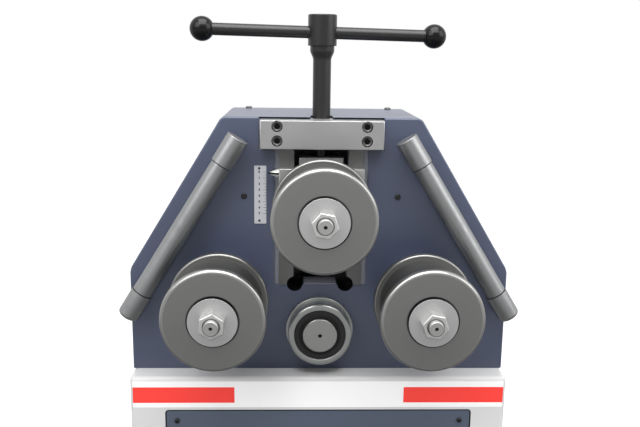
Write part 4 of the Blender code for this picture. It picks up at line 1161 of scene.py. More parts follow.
@dataclass
class HeadCasing(SubAssembly):
    """Folded cover over the main and rear plates, with its screws and the plates' bolts."""

    sheet: float = 0.003
    top: float = 0.2903
    top_half: float = 0.1643
    shoulder: float = 0.0323
    half: float = 0.3212
    foot: float = -0.1452
    depth: float = 0.2176
    bend: float = 0.007
    edge: float = 0.003
    hole_edge: float = 0.0011
    hole_sharp: float = radians(70)
    past: float = 0.05
    window_half: float = 0.078
    window_floor: float = 0.006
    window_top: float = 0.2868
    cut_half: float = 0.1035
    cut_floor: float = 0.2364
    cut_rear: float = 0.0065
    undercut: float = 0.012
    lip: float = 0.0003
    notch: float = 0.0185
    spindle_y: float = 0.0333
    relief_x: float = 0.043
    relief_z: float = 0.0077
    relief: float = 0.0135
    # Radii of the painted shade round the reliefs, from full black to none.
    scale_reach: Pair = (14.5 * MM, 16.0 * MM)
    housing: float = 0.0563
    shaft_x: float = 0.165
    hub: float = 0.0578
    drive_z: float = -0.0719375
    screw_place: Pair = (0.1283, 0.1595)
    screw: Pair = (0.0050, 0.0028)
    screw_turn: float = 0.4
    top_screw_x: float = 0.131
    top_screw_inset: float = 0.012
    top_screw: Pair = (0.006, 0.0034)
    rear_face: float = 0.213
    ties: tuple[Pair, ...] = ((0.120, 0.245), (0.290, -0.116))
    tie_bolt: Pair = (0.018, 0.0065)

    def outline(self, inset: float, floor: float) -> list[Pair]:
        """The head's six-sided outline.

        Args:
            inset: How far inside the outer face.
            floor: The height of its lower edge.

        Returns:
            Its corners, (x, z).
        """
        slope = Vector((self.half - self.top_half, self.shoulder - self.top)).normalized()
        outward = Vector((-slope.y, slope.x))
        edge = Vector((self.half, self.shoulder)) - outward * inset
        top, side = self.top - inset, self.half - inset
        top_x = edge.x + slope.x * (top - edge.y) / slope.y
        side_z = edge.y + slope.y * (side - edge.x) / slope.x
        right = [(side, floor), (side, side_z), (top_x, top)]
        return right + [(-x, z) for x, z in reversed(right)]

    def build(self) -> None:
        """Build the cover, its screws and the rear bolts, and dress the plates."""
        self.make_cover()
        self.make_screws()
        middle = tuple(self.origin + Vector((0, 0, self.relief_z)))
        # Primed mill plate, with painted shade in black round the slot's reliefs.
        plate = WorkedSteel(
            "plate_flame_cut_steel", "8A8C96", "82848E", 0.50, 0.4, grain=Grain.EVEN, line=4 * MM,
            shade=Shade(middle, (self.relief_x, 0.0, 0.0), self.scale_reach),
        )
        self.keep(plate, "main_plate")
        self.keep(REAR_STEEL, "rear_plate")
        bolts = [
            hexagon_bolt((side.value * x, self.rear_face, z), BACK, *self.tie_bolt)
            for side in Side
            for x, z in self.ties
        ]
        self.make("rear_plate_bolts", merged(bolts), ZINC, "bright_steel")

    def make_cover(self) -> None:
        """Build the folded cover with its window, notch, shaft holes and softened edges."""
        foot, wall, y = self.foot, self.sheet, self.spindle_y
        shape = slab(self.outline(0, foot), 0, self.depth)
        low, front = on_plane(Axis.Z, foot), on_plane(Axis.Y, 0.0)
        softened(shape, lambda e: spans(Axis.Y)(e) and not low(e), self.bend, 6)
        softened(shape, lambda e: front(e) and not low(e), self.edge, 5)
        below, above = self.top - wall - PAST, self.top + PAST
        deeper = self.cut_rear + self.undercut
        tools = [
            slab(self.outline(wall, foot - self.past), wall, self.depth + self.past),
            wide(self.window_half, (-PAST, wall + PAST), (self.window_floor, self.window_top)),
            wide(self.cut_half, (-PAST, self.cut_rear), (self.cut_floor, above)),
            wide(self.cut_half - GAP, (-PAST, deeper), (self.cut_floor, self.top - self.lip)),
            wide(self.notch, (0, y), (below, above)), rod((0, y, below), (0, y, above), self.notch),
            self.hole(0, self.drive_z, self.hub, Facets.BODY),
        ]
        for side in Side:
            tools.append(self.hole(side.value * self.shaft_x, 0, self.housing, Facets.BODY))
            tools.append(
                self.hole(side.value * self.relief_x, self.relief_z, self.relief, Facets.SMALL)
            )
        shape = combined(shape, tools)
        softened(
            shape, lambda e: e.is_manifold and front(e) and e.calc_face_angle() > self.hole_sharp,
            self.hole_edge,
        )
        self.replace("head_cover", "folded", shape, HEAD_PAINT, "head_paint")

    def hole(self, x: float, z: float, radius: float, steps: int) -> Shape:
        """A round tool through the cover's front."""
        return rod((x, -PAST, z), (x, self.sheet + PAST, z), radius, steps)

    def make_screws(self) -> None:
        """Build the two front screws and the two on the rear edge of the top."""
        x, z = self.screw_place
        front = [
            fastener((side.value * x, 0, z), OUT, self.screw, phase=self.screw_turn) for side in Side
        ]
        self.make("head_front_screws", merged(front), BLACK_STEEL, "black_oxide")
        x, y = self.top_screw_x, self.depth - self.top_screw_inset
        top = [fastener((side.value * x, y, self.top), UP, self.top_screw) for side in Side]
        self.make("head_top_screws", merged(top), SCREW_BLACK, "black_oxide")


@dataclass
class Bridge(SubAssembly):
    """Flat steel bar over the slot, screwed to the main plate, with the spindle's thrust ring."""

    half: float = 0.1006
    front: float = -0.0243
    rear: float = 0.0030
    bottom: float = 0.2404
    top: float = 0.2868
    edge: float = 0.0012
    tongue_half: float = 0.0447
    tongue: Pair = (-0.004, 0.056)
    spindle_y: float = 0.0333
    bore: float = 0.0153
    pocket: float = 0.0229
    pocket_top: float = 0.2663
    screw_x: float = 0.073
    screw_z: Pair = (0.2539, 0.2774)
    mouth: float = 0.009
    mouth_edge: float = 0.0004
    head: float = 0.008
    head_back: float = 0.0105
    head_edge: float = 0.0008
    shank: float = 0.005
    reach: float = 0.028
    sunk: float = 0.0016
    dish: Pair = (0.0049, 0.0066)
    dish_deep: float = 0.0016
    socket: float = 0.0048
    socket_turn: float = 0.35
    socket_floor: float = 0.0010
    # Radii of the painted shade in each socket, from full black to none.
    dark: Pair = (4.7 * MM, 5.1 * MM)

    def build(self) -> None:
        """Build the bar and its screws, and dress the ring."""
        height = (self.bottom, self.top)
        bar = wide(self.half, (self.front, self.rear), height)
        softened(bar, on_plane(Axis.Y, self.front), self.edge)
        shape = combined(bar, [wide(self.tongue_half, self.tongue, height)], "UNION")
        y, low, high = self.spindle_y, self.bottom - PAST, self.top + PAST
        tools = [
            rod((0, y, low), (0, y, high), self.bore),
            rod((0, y, low), (0, y, self.pocket_top), self.pocket),
        ]
        floor, before, past = self.front + self.head_back + GAP, self.front - OVER, self.rear + PAST
        narrow = self.shank + GAP
        seat = [
            (before, 0), (before, self.mouth + self.mouth_edge),
            (self.front + self.mouth_edge, self.mouth), (floor, self.mouth), (floor, narrow),
            (past, narrow), (past, 0),
        ]
        places = [(side.value * self.screw_x, z) for side in Side for z in self.screw_z]
        tools += [spun(seat, (x, 0, z), BACK, Facets.SCREW) for x, z in places]
        shape = combined(shape, tools)
        self.make("bridge_bar_ground", shape, BRIDGE_STEEL, "bright_steel", "bridge_block")
        low, high = self.screw_z
        middle = tuple(self.origin + Vector((0, 0, (low + high) / 2)))
        # Blackened screw steel, grey on the head, with painted shade in black inside the socket.
        painted_light = BlackOxide(
            "bridge_screw_worn_steel", "626261", "505050", 0.32, 0.6, patch=4 * MM,
            shade=Shade(middle, (self.screw_x, 0.0, (high - low) / 2), self.dark),
        )
        for number, (x, z) in enumerate(places, start=1):
            self.make_screw(number, x, z, painted_light)
        self.keep(BRONZE, "thrust_ring")

    def make_screw(self, number: int, x: float, z: float, painted_light: Finish) -> None:
        """Build one socket-head screw with its dished head and its socket.

        Args:
            number: Its number.
            x: Its place across the bridge.
            z: Its height.
            painted_light: Its finish.
        """
        near, back = self.front + self.sunk, self.front + self.head_back
        floor = near + self.dish_deep
        profile = [
            (floor, 0), (floor, self.dish[0]), (near, self.dish[1]), (near, self.head),
            (back, self.head), (back, self.shank), (self.reach, self.shank), (self.reach, 0),
        ]
        rounds = [(near, self.head, self.head_edge, 3)]
        shape = spun(profile, (x, 0, z), BACK, Facets.SCREW, rounds=rounds)
        end = (x, back - self.socket_floor, z)
        socket = rod((x, near - PAST, z), end, self.socket, Facets.HEXAGON, self.socket_turn)
        shape = combined(shape, [socket])
        self.replace(f"bridge_screw_{number}", "socket_head", shape, painted_light, "black_oxide")


@dataclass
class SlideWay(SubAssembly):
    """Guide strips beside the slot, and the scale plate with its printed marks and rivets."""

    strip_inner: float = 0.0453
    strip_outer: float = 0.070
    strip_front: float = -0.0017
    strip_back: float = 0.0030
    strip_low: float = 0.0063
    strip_high: float = 0.2401
    strip_edge: float = 0.0004
    plate_right: float = -0.0911
    plate_width: float = 0.020
    plate_top: float = 0.2103
    plate_length: float = 0.0977
    plate_front: float = -0.0013
    plate_corner: float = 0.0012
    plate_edge: float = 0.0002
    zero: float = 0.200
    marks: int = 8
    step: float = 0.010
    half_line: float = 0.0003
    line_ends: Point = (0.0052, 0.0030, 0.0004)
    ink: Pair = (0.00008, 0.00005)
    figure_size: float = 0.0052
    figure_bold: float = 0.00030
    figure_thick: float = 0.00006
    figure_share: float = 0.58
    rivet: Pair = (0.0021, 0.0007)
    rivet_share: float = 0.42
    rivet_insets: Pair = (0.0042, 0.0052)

    def build(self) -> None:
        """Dress the strips and build the scale."""
        for side in Side:
            self.make_strip(side)
        left = self.plate_right - self.plate_width
        low, front = self.plate_top - self.plate_length, self.plate_front
        plate = box((left, front, low), (self.plate_right, -GAP, self.plate_top))
        softened(plate, spans(Axis.Y), self.plate_corner, 4)
        softened(plate, on_plane(Axis.Y, front), self.plate_edge, 2)
        self.replace("scale_plate", "anodised", plate, SCALE_SILVER, "aluminium")
        self.make("scale_marks", self.marks_shape(), PRINT_BLACK, "dark_plastic")
        x = left + self.plate_width * self.rivet_share
        upper, lower = self.rivet_insets
        rivets = [
            fastener((x, front, z), OUT, self.rivet, Drive.NONE)
            for z in (self.plate_top - upper, low + lower)
        ]
        self.make("scale_rivets", merged(rivets), BLACK_STEEL, "black_oxide")

    def make_strip(self, side: Side) -> None:
        """Build one guide strip, its foot cut away by the slot's round relief.

        Args:
            side: Which side of the slot.
        """
        inner, outer = sorted((side.value * self.strip_inner, side.value * self.strip_outer))
        near, back = self.strip_front, self.strip_back
        strip = box((inner, near, self.strip_low), (outer, back, self.strip_high))
        softened(strip, on_plane(Axis.Y, near), self.strip_edge, 2)
        x, z = side.value * HeadCasing.relief_x, HeadCasing.relief_z
        relief = rod((x, near - PAST, z), (x, back + PAST, z), HeadCasing.relief, Facets.SMALL)
        shape = combined(strip, [relief])
        node = f"guide_strip_{side.name.lower()}"
        self.replace(node, "ground", shape, GUIDE_STEEL, "bright_steel")

    def marks_shape(self) -> Shape:
        """The printed figures and lines, a hair proud of the plate.

        Returns:
            The shape.
        """
        front, back = self.plate_front - self.ink[0], self.plate_front + self.ink[1]
        long, short, near = self.line_ends
        lines = []
        for half_step in range(2 * self.marks - 1):
            z = self.zero - half_step * self.step / 2
            left = self.plate_right - (short if half_step % 2 else long)
            low, high = z - self.half_line, z + self.half_line
            lines.append(box((left, front, low), (self.plate_right - near, back, high)))
        for number in range(self.marks):
            lines.append(self.figure(str(number), self.zero - number * self.step, front))
        return merged(lines)

    def figure(self, text: str, z: float, front: float) -> Shape:
        """One printed figure.

        Args:
            text: The figure.
            z: Its middle height.
            front: The y of its face.

        Returns:
            The shape.
        """
        curve = bpy.data.curves.new("figure", "FONT")
        curve.body = text
        curve.size = self.figure_size
        curve.extrude = self.figure_thick
        curve.offset = self.figure_bold
        curve.resolution_u = 3
        curve.align_x, curve.align_y = "CENTER", "CENTER"
        written = bpy.data.objects.new("figure", curve)
        bpy.context.scene.collection.objects.link(written)
        shape = as_shape(written)
        bpy.data.objects.remove(written)
        bpy.data.curves.remove(curve)
        x = self.plate_right - self.plate_width * self.figure_share
        return turned_about(shape, (x, front + self.figure_thick, z), pi / 2)


@dataclass
class SideBars(SubAssembly):
    """Round bars held off the head's slanted sides by a sleeve at each end."""

    top: Pair = (0.1352, 0.2593)
    end: Pair = (0.3212, -0.0405)
    y: float = -0.030
    radius: float = 0.0168
    bar_edge: float = 0.0006
    sleeve: float = 0.0184
    sleeve_edge: float = 0.0005
    crown: float = 0.0011
    upper: float = 0.0505
    lower: float = 0.0486
    pin: float = 0.009
    pin_length: float = 0.014
    socket: float = 0.015
    nose: float = 0.0068
    stud: float = 0.010
    stud_shares: Pair = (0.4, 0.55)
    stud_sunk: float = 0.5
    joint: float = 0.0014

    def build(self) -> None:
        """Build both bars."""
        for side in Side:
            self.make_bar(side)

    def make_bar(self, side: Side) -> None:
        """Build one bar with its two sleeves.

        Args:
            side: Which side.
        """
        start = Vector((side.value * self.top[0], self.y, self.top[1]))
        finish = Vector((side.value * self.end[0], self.y, self.end[1]))
        line = (finish - start).normalized()
        length = (finish - start).length
        word = side.name.lower()
        # Satin drawn bar: soft light along its length and no sharp reflection.
        metal = self.turned_finish(
            f"side_bar_{word}_satin_steel", ("969798", "8E8F90"), 0.40, start, axis=tuple(line),
            pitch=1.6 * MM, groove=0.006 * MM,
        )
        first, last = self.upper + self.joint, length - self.lower - self.joint
        profile = [
            (first - self.pin_length, 0), (first - self.pin_length, self.pin), (first, self.pin),
            (first, self.radius), (last, self.radius), (last, self.pin),
            (last + self.pin_length, self.pin), (last + self.pin_length, 0),
        ]
        rounds = [(at, self.radius, self.bar_edge, 2) for at in (first, last)]
        shape = spun(profile, start, line, rounds=rounds)
        self.replace(f"side_bar_{word}", "drawn", shape, metal, "bright_steel")
        bore, near, wide_end = self.pin + GAP, length - self.lower, self.sleeve
        for place, inner, outer, inward, edge, segments, share in (
            ("upper", self.upper, 0, -1, self.crown, 3, self.stud_shares[0]),
            ("lower", near, length, 1, self.nose, 8, self.stud_shares[1]),
        ):
            floor = inner + inward * self.socket
            outline = [
                (floor, 0), (floor, bore), (inner, bore), (inner, wide_end), (outer, wide_end),
                (outer, 0),
            ]
            rounds = [(outer, wide_end, edge, segments), (inner, wide_end, self.sleeve_edge, 2)]
            reach = self.upper if place == "upper" else self.lower
            foot = start + line * (min(inner, outer) + reach * share)
            near_end = (foot.x, self.y + self.sleeve * self.stud_sunk, foot.z)
            stud = rod(near_end, (foot.x, -GAP, foot.z), self.stud, Facets.SMALL)
            shape = combined(spun(outline, start, line, rounds=rounds), [stud], "UNION")
            node = f"side_bar_sleeve_{place}_{word}"
            self.replace(node, "turned", shape, metal, "bright_steel")


@dataclass
class DriveTrain(SubAssembly):
    """Central driven shaft in its ring and seal, the gears, and the lower shafts' housings."""

    z: float = -0.0719375
    shaft_x: float = 0.165
    ring: float = 0.0535
    ring_edge: float = 0.0036
    rim: float = 0.0575
    rim_edge: float = 0.0012
    ring_front: float = -0.036
    ring_floor: float = 0.0095
    rim_front: float = -0.008
    seal: float = 0.043
    lip: float = 0.0015
    lip_root: float = 0.0022
    seal_edge: Pair = (0.0014, 0.0006)
    lips: tuple[Pair, ...] = ((0.0010, 0.0032), (0.0016, 0.0046), (0.0, 0.0058))
    end: float = 0.029
    end_front: float = -0.039
    end_back: float = 0.018
    end_edge: float = 0.0016
    centre_hole: Point = (0.022, 0.0026, 0.0034)
    centre_slope: float = 0.0014
    spigot: float = 0.040
    spigot_short: float = 0.002
    journal: float = 0.020
    rear_journal: float = 0.0175
    plate_front: float = 0.0033
    plate_rear: float = 0.0433
    gear_end: float = 0.132
    rear_end: float = 0.291
    housing_front: float = -0.0599
    housing_rear: float = 0.0553
    housing: float = 0.056
    housing_edge: float = 0.003

    def __post_init__(self) -> None:
        """Work out the shaft's line and the floor of the ring."""
        self.at = (0.0, 0.0, self.z)
        self.back = self.ring_front + self.ring_floor
        self.wall = self.plate_front - GAP

    def build(self) -> None:
        """Build the hub, the seal, the shaft and the housings, and dress the gears."""
        self.make_ring()
        self.make_seal()
        self.make_shaft()
        self.make_housings()
        self.keep(GEAR_STEEL, "lower_left_gear", "lower_right_gear", "drive_pinion")

    def make_ring(self) -> None:
        """Build the ring on the head's front and its spigot in the main plate."""
        # Turned and wiped clean, so it is brighter than the rolls beside it.
        metal = self.turned_finish("drive_hub_turned_steel", ("B0B2B0", "A6A8A6"), 0.36, self.at)
        front, rim, inner = self.ring_front, self.rim_front, self.seal + GAP
        bore, clear = self.journal + GAP, self.end + 2 * GAP
        deep, rear = self.back + self.end_back, self.plate_rear - self.spigot_short
        profile = [
            (self.back, inner), (front, inner), (front, self.ring), (rim, self.ring), (rim, self.rim),
            (self.wall, self.rim), (self.wall, self.spigot), (rear, self.spigot), (rear, bore),
            (deep, bore), (deep, clear), (self.back, clear),
        ]
        rounds = [
            (front, self.ring, self.ring_edge, 6), (front, inner, self.rim_edge, 3),
            (rim, self.rim, self.rim_edge, 3),
        ]
        shape = spun(profile, self.at, BACK, Facets.RING, rounds=rounds)
        self.replace("drive_hub_ring", "turned", shape, metal, "turned_steel")

    def make_seal(self) -> None:
        """Build the shaft seal with its lips."""
        front, back, inner = self.ring_front + self.lip, self.back - GAP, self.end + 2 * GAP
        profile = [(front + self.lip_root, inner)]
        profile += [(front + step, self.end + out) for step, out in self.lips]
        inward, slope = self.seal_edge
        profile += [(front, self.seal - inward), (front + slope, self.seal)]
        profile += [(back, self.seal), (back, inner)]
        shape = spun(profile, self.at, BACK, Facets.RING)
        self.replace("drive_shaft_seal", "moulded", shape, SEAL_RUBBER, "rubber")

    def make_shaft(self) -> None:
        """Build the driven shaft with its centre hole."""
        # A faced shaft end: fine rings catch light round the centre hole.
        faced = self.turned_finish("drive_shaft_turned_steel", ("B2B2B0", "A8A8A6"), 0.38, self.at)
        front, step = self.end_front, self.back + self.end_back - GAP
        deep, hole, mouth = self.centre_hole
        profile = [
            (front + deep, 0), (front + deep, hole), (front + self.centre_slope, hole), (front, mouth),
            (front, self.end), (step, self.end), (step, self.journal), (self.gear_end, self.journal),
            (self.gear_end, self.rear_journal), (self.rear_end, self.rear_journal), (self.rear_end, 0),
        ]
        shape = spun(profile, self.at, BACK, rounds=[(front, self.end, self.end_edge, 4)])
        self.replace("drive_shaft", "turned", shape, faced, "bright_steel", Body.DRIVE)

    def make_housings(self) -> None:
        """Build the lower shafts' bearing housings."""
        bore, front = self.journal + GAP, self.housing_front
        profile = [
            (front, bore), (front, self.housing), (self.wall, self.housing), (self.wall, self.spigot),
            (self.housing_rear, self.spigot), (self.housing_rear, bore),
        ]
        rounds = [(front, self.housing, self.housing_edge, 5)]
        for side in Side:
            shape = spun(profile, (side.value * self.shaft_x, 0, 0), BACK, rounds=rounds)
            node = f"bearing_housing_{side.name.lower()}"
            self.replace(node, "cast", shape, CAST_IRON, "cast_grey")


@dataclass
class Carriage(SubAssembly):
    """The top roll's slide block with its keeper, bush, lifting rod and pointer."""

    half: float = 0.070
    front: float = -0.022
    back: float = -0.0020
    front_edge: float = 0.0012
    top: float = 0.208
    bottom: float = 0.092
    slide_half: float = 0.0444
    overlap: float = 0.004
    plate_rear: float = 0.0430
    block_half: float = 0.037
    block: tuple[float, ...] = (0.008, 0.058, 0.193, 0.2232)
    block_edge: float = 0.0010
    axis_z: float = 0.1515
    boss: float = 0.045
    boss_front: float = -0.0599
    boss_edge: float = 0.0015
    bush: float = 0.0263
    bush_front: float = -0.07
    spindle_y: float = 0.0333
    rod_seat: float = 0.2007
    rod_bore: float = 0.0103
    pointer_y: float = -0.013
    pointer_z: float = 0.200
    pointer: float = 0.0076
    pointer_root: float = 0.0012
    pointer_tip: float = 0.0004
    pointer_length: float = 0.0185

    def build(self) -> None:
        """Build the slide block and the pointer, and dress the rest."""
        height, inner = (self.bottom, self.top), self.front + self.overlap
        flange = wide(self.half, (self.front, self.back), height)
        softened(flange, on_plane(Axis.Y, self.front), self.front_edge)
        slide = wide(self.slide_half, (self.back - self.overlap, self.plate_rear), height)
        near, far, low, high = self.block
        upper = wide(self.block_half, (near, far), (low, high))
        top = on_plane(Axis.Z, high)
        softened(upper, lambda e: top(e) or spans(Axis.Z)(e), self.block_edge)
        at = (0, 0, self.axis_z)
        rounds = [(self.boss_front, self.boss, self.boss_edge, 3)]
        boss = spun(ring(self.boss_front, inner, self.boss), at, BACK, rounds=rounds)
        shape = combined(flange, [slide, upper, boss], "UNION")
        y, z, past = self.spindle_y, self.axis_z, self.plate_rear + PAST
        seat = rod((0, self.bush_front, z), (0, past, z), self.bush, Facets.BODY)
        thread = rod((0, y, self.rod_seat), (0, y, high + PAST), self.rod_bore)
        shape = combined(shape, [seat, thread])
        slot = "turned_steel"
        self.replace("carriage_block", "milled", shape, SLIDE_STEEL, slot, Body.CARRIAGE)
        self.keep(BRONZE, "carriage_bush")
        self.keep(GEAR_STEEL, "carriage_keeper_plate")
        self.keep(BLACK_STEEL, "lift_screw_rod")
        self.make_pointer()

    def make_pointer(self) -> None:
        """Build the pointer: a cone from the block's side to the scale."""
        # Turned and bright on both sides of its black index line.
        metal = IndexedSteel(
            "pointer_turned_steel", "D6D6D2", "C8C8C4", 0.34, 0.45,
            height=self.pointer_z + self.origin.z,
        )
        root = self.half + GAP
        tip = root + self.pointer_length
        profile = [
            (root, 0), (root, self.pointer), (root + self.pointer_root, self.pointer),
            (tip, self.pointer_tip), (tip, 0),
        ]
        shape = spun(profile, (0, self.pointer_y, self.pointer_z), LEFTWARD, Facets.SCREW)
        self.replace("scale_pointer", "turned", shape, metal, "bright_steel", Body.CARRIAGE)


@dataclass
class LiftSpindle(SubAssembly):
    """The turning sleeve that lifts the carriage, with its hub, cross bar and ball knobs."""

    y: float = 0.0333
    bottom: float = 0.2360
    thrust: Point = (0.2500, 0.2580, 0.0220)
    shank: float = 0.015
    taper: Pair = (0.3850, 0.3960)
    taper_rounds: Pair = (0.003, 0.002)
    collar: float = 0.020
    hub: Point = (0.4052, 0.4556, 0.0237)
    hub_rounds: Pair = (0.0010, 0.0020)
    bore: float = 0.0104
    bore_top: float = 0.388
    bar_z: float = 0.4265
    bar: float = 0.010
    bar_edge: float = 0.001
    yaw: float = radians(4.5)
    tilt: float = radians(1.05)
    shift: float = -0.0041
    knob: float = 0.020
    knob_mouth: float = 0.0115
    knob_reach: float = 0.1917
    knob_steps: int = 36
    grip: float = 0.006

    def __post_init__(self) -> None:
        """Work out the bar's direction and its middle."""
        turn = Matrix.Rotation(self.yaw, 3, "Z") @ Matrix.Rotation(self.tilt, 3, "Y")
        self.along = turn @ Vector(ACROSS)
        self.centre = Vector((0, self.y, self.bar_z))
        self.middle = self.centre + self.along * self.shift

    def build(self) -> None:
        """Build the sleeve, the bar and the knobs."""
        self.make_sleeve()
        reach = self.along * (self.knob_reach + self.grip)
        bar = rod(self.middle - reach, self.middle + reach, self.bar, Facets.SHAFT, soft=self.bar_edge)
        self.replace("cross_bar", "blackened", bar, BLACK_STEEL, "black_oxide", Body.CROSS)
        for side in Side:
            self.make_knob(side)

    def make_sleeve(self) -> None:
        """Build the sleeve with its thrust flange, taper, collar and cross-drilled hub."""
        low, high, flange = self.thrust
        hub_low, hub_high, hub = self.hub
        lower, upper = self.taper
        profile = [
            (self.bore_top, 0), (self.bore_top, self.bore), (self.bottom, self.bore),
            (self.bottom, self.shank), (low, self.shank), (low, flange), (high, flange),
            (high, self.shank), (lower, self.shank), (upper, self.collar), (hub_low, self.collar),
            (hub_low, hub), (hub_high, hub), (hub_high, 0),
        ]
        rounds = [
            (hub_high, hub, self.hub_rounds[1], 4), (hub_low, hub, self.hub_rounds[0], 3),
            (lower, self.shank, self.taper_rounds[0], 4), (upper, self.collar, self.taper_rounds[1], 4),
        ]
        shape = spun(profile, (0, self.y, 0), UP, rounds=rounds)
        reach = Vector((cos(self.yaw), sin(self.yaw), 0)) * (hub + PAST)
        clear = self.bar / cos(self.tilt) + hub * tan(self.tilt) + GAP
        shape = combined(shape, [rod(self.centre - reach, self.centre + reach, clear)])
        slot = "black_oxide"
        self.replace("spindle_sleeve", "blackened", shape, BLACK_STEEL, slot, Body.SPINDLE)

    def make_knob(self, side: Side) -> None:
        """Build a ball knob with its flat mouth round the bar.

        Args:
            side: Which end of the bar.
        """
        out = self.along * side.value
        bore, mouth = self.bar + GAP, self.grip + GAP
        first = asin(self.knob_mouth / self.knob)
        profile = [(mouth, 0), (mouth, bore), (-self.knob * cos(first), bore)]
        for step in range(self.knob_steps + 1):
            angle = first + (pi - first) * step / self.knob_steps
            radius = 0 if step == self.knob_steps else self.knob * sin(angle)
            profile.append((-self.knob * cos(angle), radius))
        shape = spun(profile, self.middle + out * self.knob_reach, out, Facets.SHAFT)
        node = f"ball_knob_{side.name.lower()}"
        self.replace(node, "polished", shape, KNOB_BLACK, "gloss_black", Body.CROSS)


@dataclass
class Stand(SubAssembly):
    """Sheet-metal stand with its front panel, striped band, screws and cable inlet."""

    half: float = 0.3204
    front: float = -0.0404
    rear: float = 0.3546
    top: float = -0.1455
    floor: float = -0.8455
    bend: float = 0.008
    wall: float = 0.004
    front_wall: float = 0.0065
    flange: float = 0.045
    foot: float = 0.005
    foot_hole: float = 0.007
    panel_half: float = 0.260
    panel_top: float = -0.206
    panel_bottom: float = -0.780
    panel_thick: float = 0.0025
    panel_edge: float = 0.0009
    panel_gap: float = 0.002
    panel_corner: float = 0.004
    # Front and rear of the black strip that paints the shade in the panel's gap.
    strip: Pair = (0.0001, 0.0050)
    strip_play: float = 0.0001
    panel_groove: float = 0.0056
    ledge: float = 0.025
    screw: Pair = (0.242, 0.018)
    screw_size: Pair = (0.0044, 0.0030)
    screw_turn: float = 0.2
    band_half: float = 0.3155
    band: Pair = (-0.1995, -0.1525)
    band_skin: float = 0.00025
    band_back: float = 0.0002
    band_edge: float = 0.0001
    stripe: tuple[float, ...] = (0.144, 0.3155, -0.191, -0.163)
    gland: Point = (-0.220, -0.720, 0.012)
    gland_reach: float = 0.02
    gland_hole: float = 1.05
    gland_nut: Point = (0.0008, 0.0098, 0.2)
    # The gland outside the stand: distance out, and radius as a share of its thread's.
    gland_nose: tuple[Pair, ...] = (
        (GAP, 1.0), (GAP, 1.455), (0.0105, 1.455), (0.0105, 1.22), (0.026, 1.1), (0.030, 0.60),
        (0.024, 0.52),
    )
    gland_inside: Pair = (0.010, 0.55)
    gland_broad: float = 1.5

    def build(self) -> None:
        """Build every piece of the stand."""
        self.make_cabinet()
        self.make_panel()
        self.make_band()
        self.make_gland()

    def make_cabinet(self) -> None:
        """Build the cabinet: rounded folds, panel opening, foot flange and holes."""
        shape = wide(self.half, (self.front, self.rear), (self.floor, self.top))
        top = on_plane(Axis.Z, self.top)
        softened(shape, lambda e: spans(Axis.Z)(e) or top(e), self.bend, 8)
        inner, back = self.front + self.front_wall, self.rear - self.wall
        before, gap, ledge = self.front - PAST, self.panel_gap, self.ledge
        foot, below = self.floor + self.foot, self.floor - PAST
        mouth = (self.front + self.flange, self.rear - self.flange)
        floor = self.front + self.panel_thick + 2 * GAP
        bottom, high = self.panel_bottom, self.panel_top
        opening = wide(self.panel_half + gap, (before, floor), (bottom - gap, high + gap))
        x, z, radius = self.gland
        tools = [
            wide(self.half - self.wall, (inner, back), (foot, self.top - self.wall)),
            wide(self.half - self.flange, mouth, (below, foot + PAST)),
            softened(opening, spans(Axis.Y), self.panel_corner + gap, 4),
            wide(self.panel_half - ledge, (before, inner + PAST), (bottom + ledge, high - ledge)),
            rod((x, self.rear - self.gland_reach, z), (x, self.rear + PAST, z), radius + GAP),
            self.panel_ring(0.0, before, self.front + self.panel_groove),
        ]
        reach = self.flange / 2 + self.wall / 2
        for side in Side:
            x = side.value * (self.half - reach)
            for y in (self.front + reach, self.rear - reach):
                tools.append(rod((x, y, below), (x, y, foot + PAST), self.foot_hole, Facets.HOLE))
        shape = combined(shape, tools)
        self.replace("base_cabinet", "folded", shape, STAND_PAINT, "stand_paint")

    def panel_ring(self, play: float, near: float, far: float) -> Shape:
        """Build a ring that fills the gap round the panel.

        Args:
            play: How far it stays from the gap's sides.
            near: Y of its front face.
            far: Y of its rear face.

        Returns:
            The closed ring.
        """
        frames = []
        for grow, past in ((self.panel_gap - play, 0.0), (play, PAST)):
            height = (self.panel_bottom - grow, self.panel_top + grow)
            frame = wide(self.panel_half + grow, (near - past, far + past), height)
            frames.append(softened(frame, spans(Axis.Y), self.panel_corner + grow, 4))
        return combined(frames[0], frames[1:])

    def make_panel(self) -> None:
        """Build the inset front panel, the black strip of painted shade in the gap round it, and its
        four screws.
        """
        near, back = self.front + GAP, self.front + self.panel_thick + GAP
        shape = wide(self.panel_half, (near, back), (self.panel_bottom, self.panel_top))
        softened(shape, spans(Axis.Y), self.panel_corner, 4)
        softened(shape, on_plane(Axis.Y, near), self.panel_edge)
        self.make("front_panel_sheet", shape, PANEL_PAINT, "panel_paint", "front_access_panel")
        front, rear = self.strip
        strip = self.panel_ring(self.strip_play, self.front + front, self.front + rear)
        self.make("front_panel_strip", strip, PANEL_GAP_SHADE, "rubber")
        x, inset = self.screw
        screws = [
            fastener((side.value * x, near, z), OUT, self.screw_size, phase=self.screw_turn)
            for side in Side
            for z in (self.panel_top - inset, self.panel_bottom + inset)
        ]
        self.make("front_panel_screws", merged(screws), BLACK_STEEL, "black_oxide")

    def make_band(self) -> None:
        """Build the white band across the stand's front and its two red stripes."""
        skin = self.band_skin
        face = self.front - skin
        band = wide(self.band_half, (face, self.front + self.band_back), self.band)
        softened(band, on_plane(Axis.Y, face), self.band_edge, 1)
        self.make("front_band_white", band, BAND_WHITE, "stand_paint")
        inner, outer, low, high = self.stripe
        stripes = []
        for side in Side:
            left, right = sorted((side.value * inner, side.value * outer))
            near, back = self.front - 2 * skin, self.front - skin / 2
            stripes.append(box((left, near, low), (right, back, high)))
        self.make("front_band_stripes", merged(stripes), BAND_RED, "stand_paint")

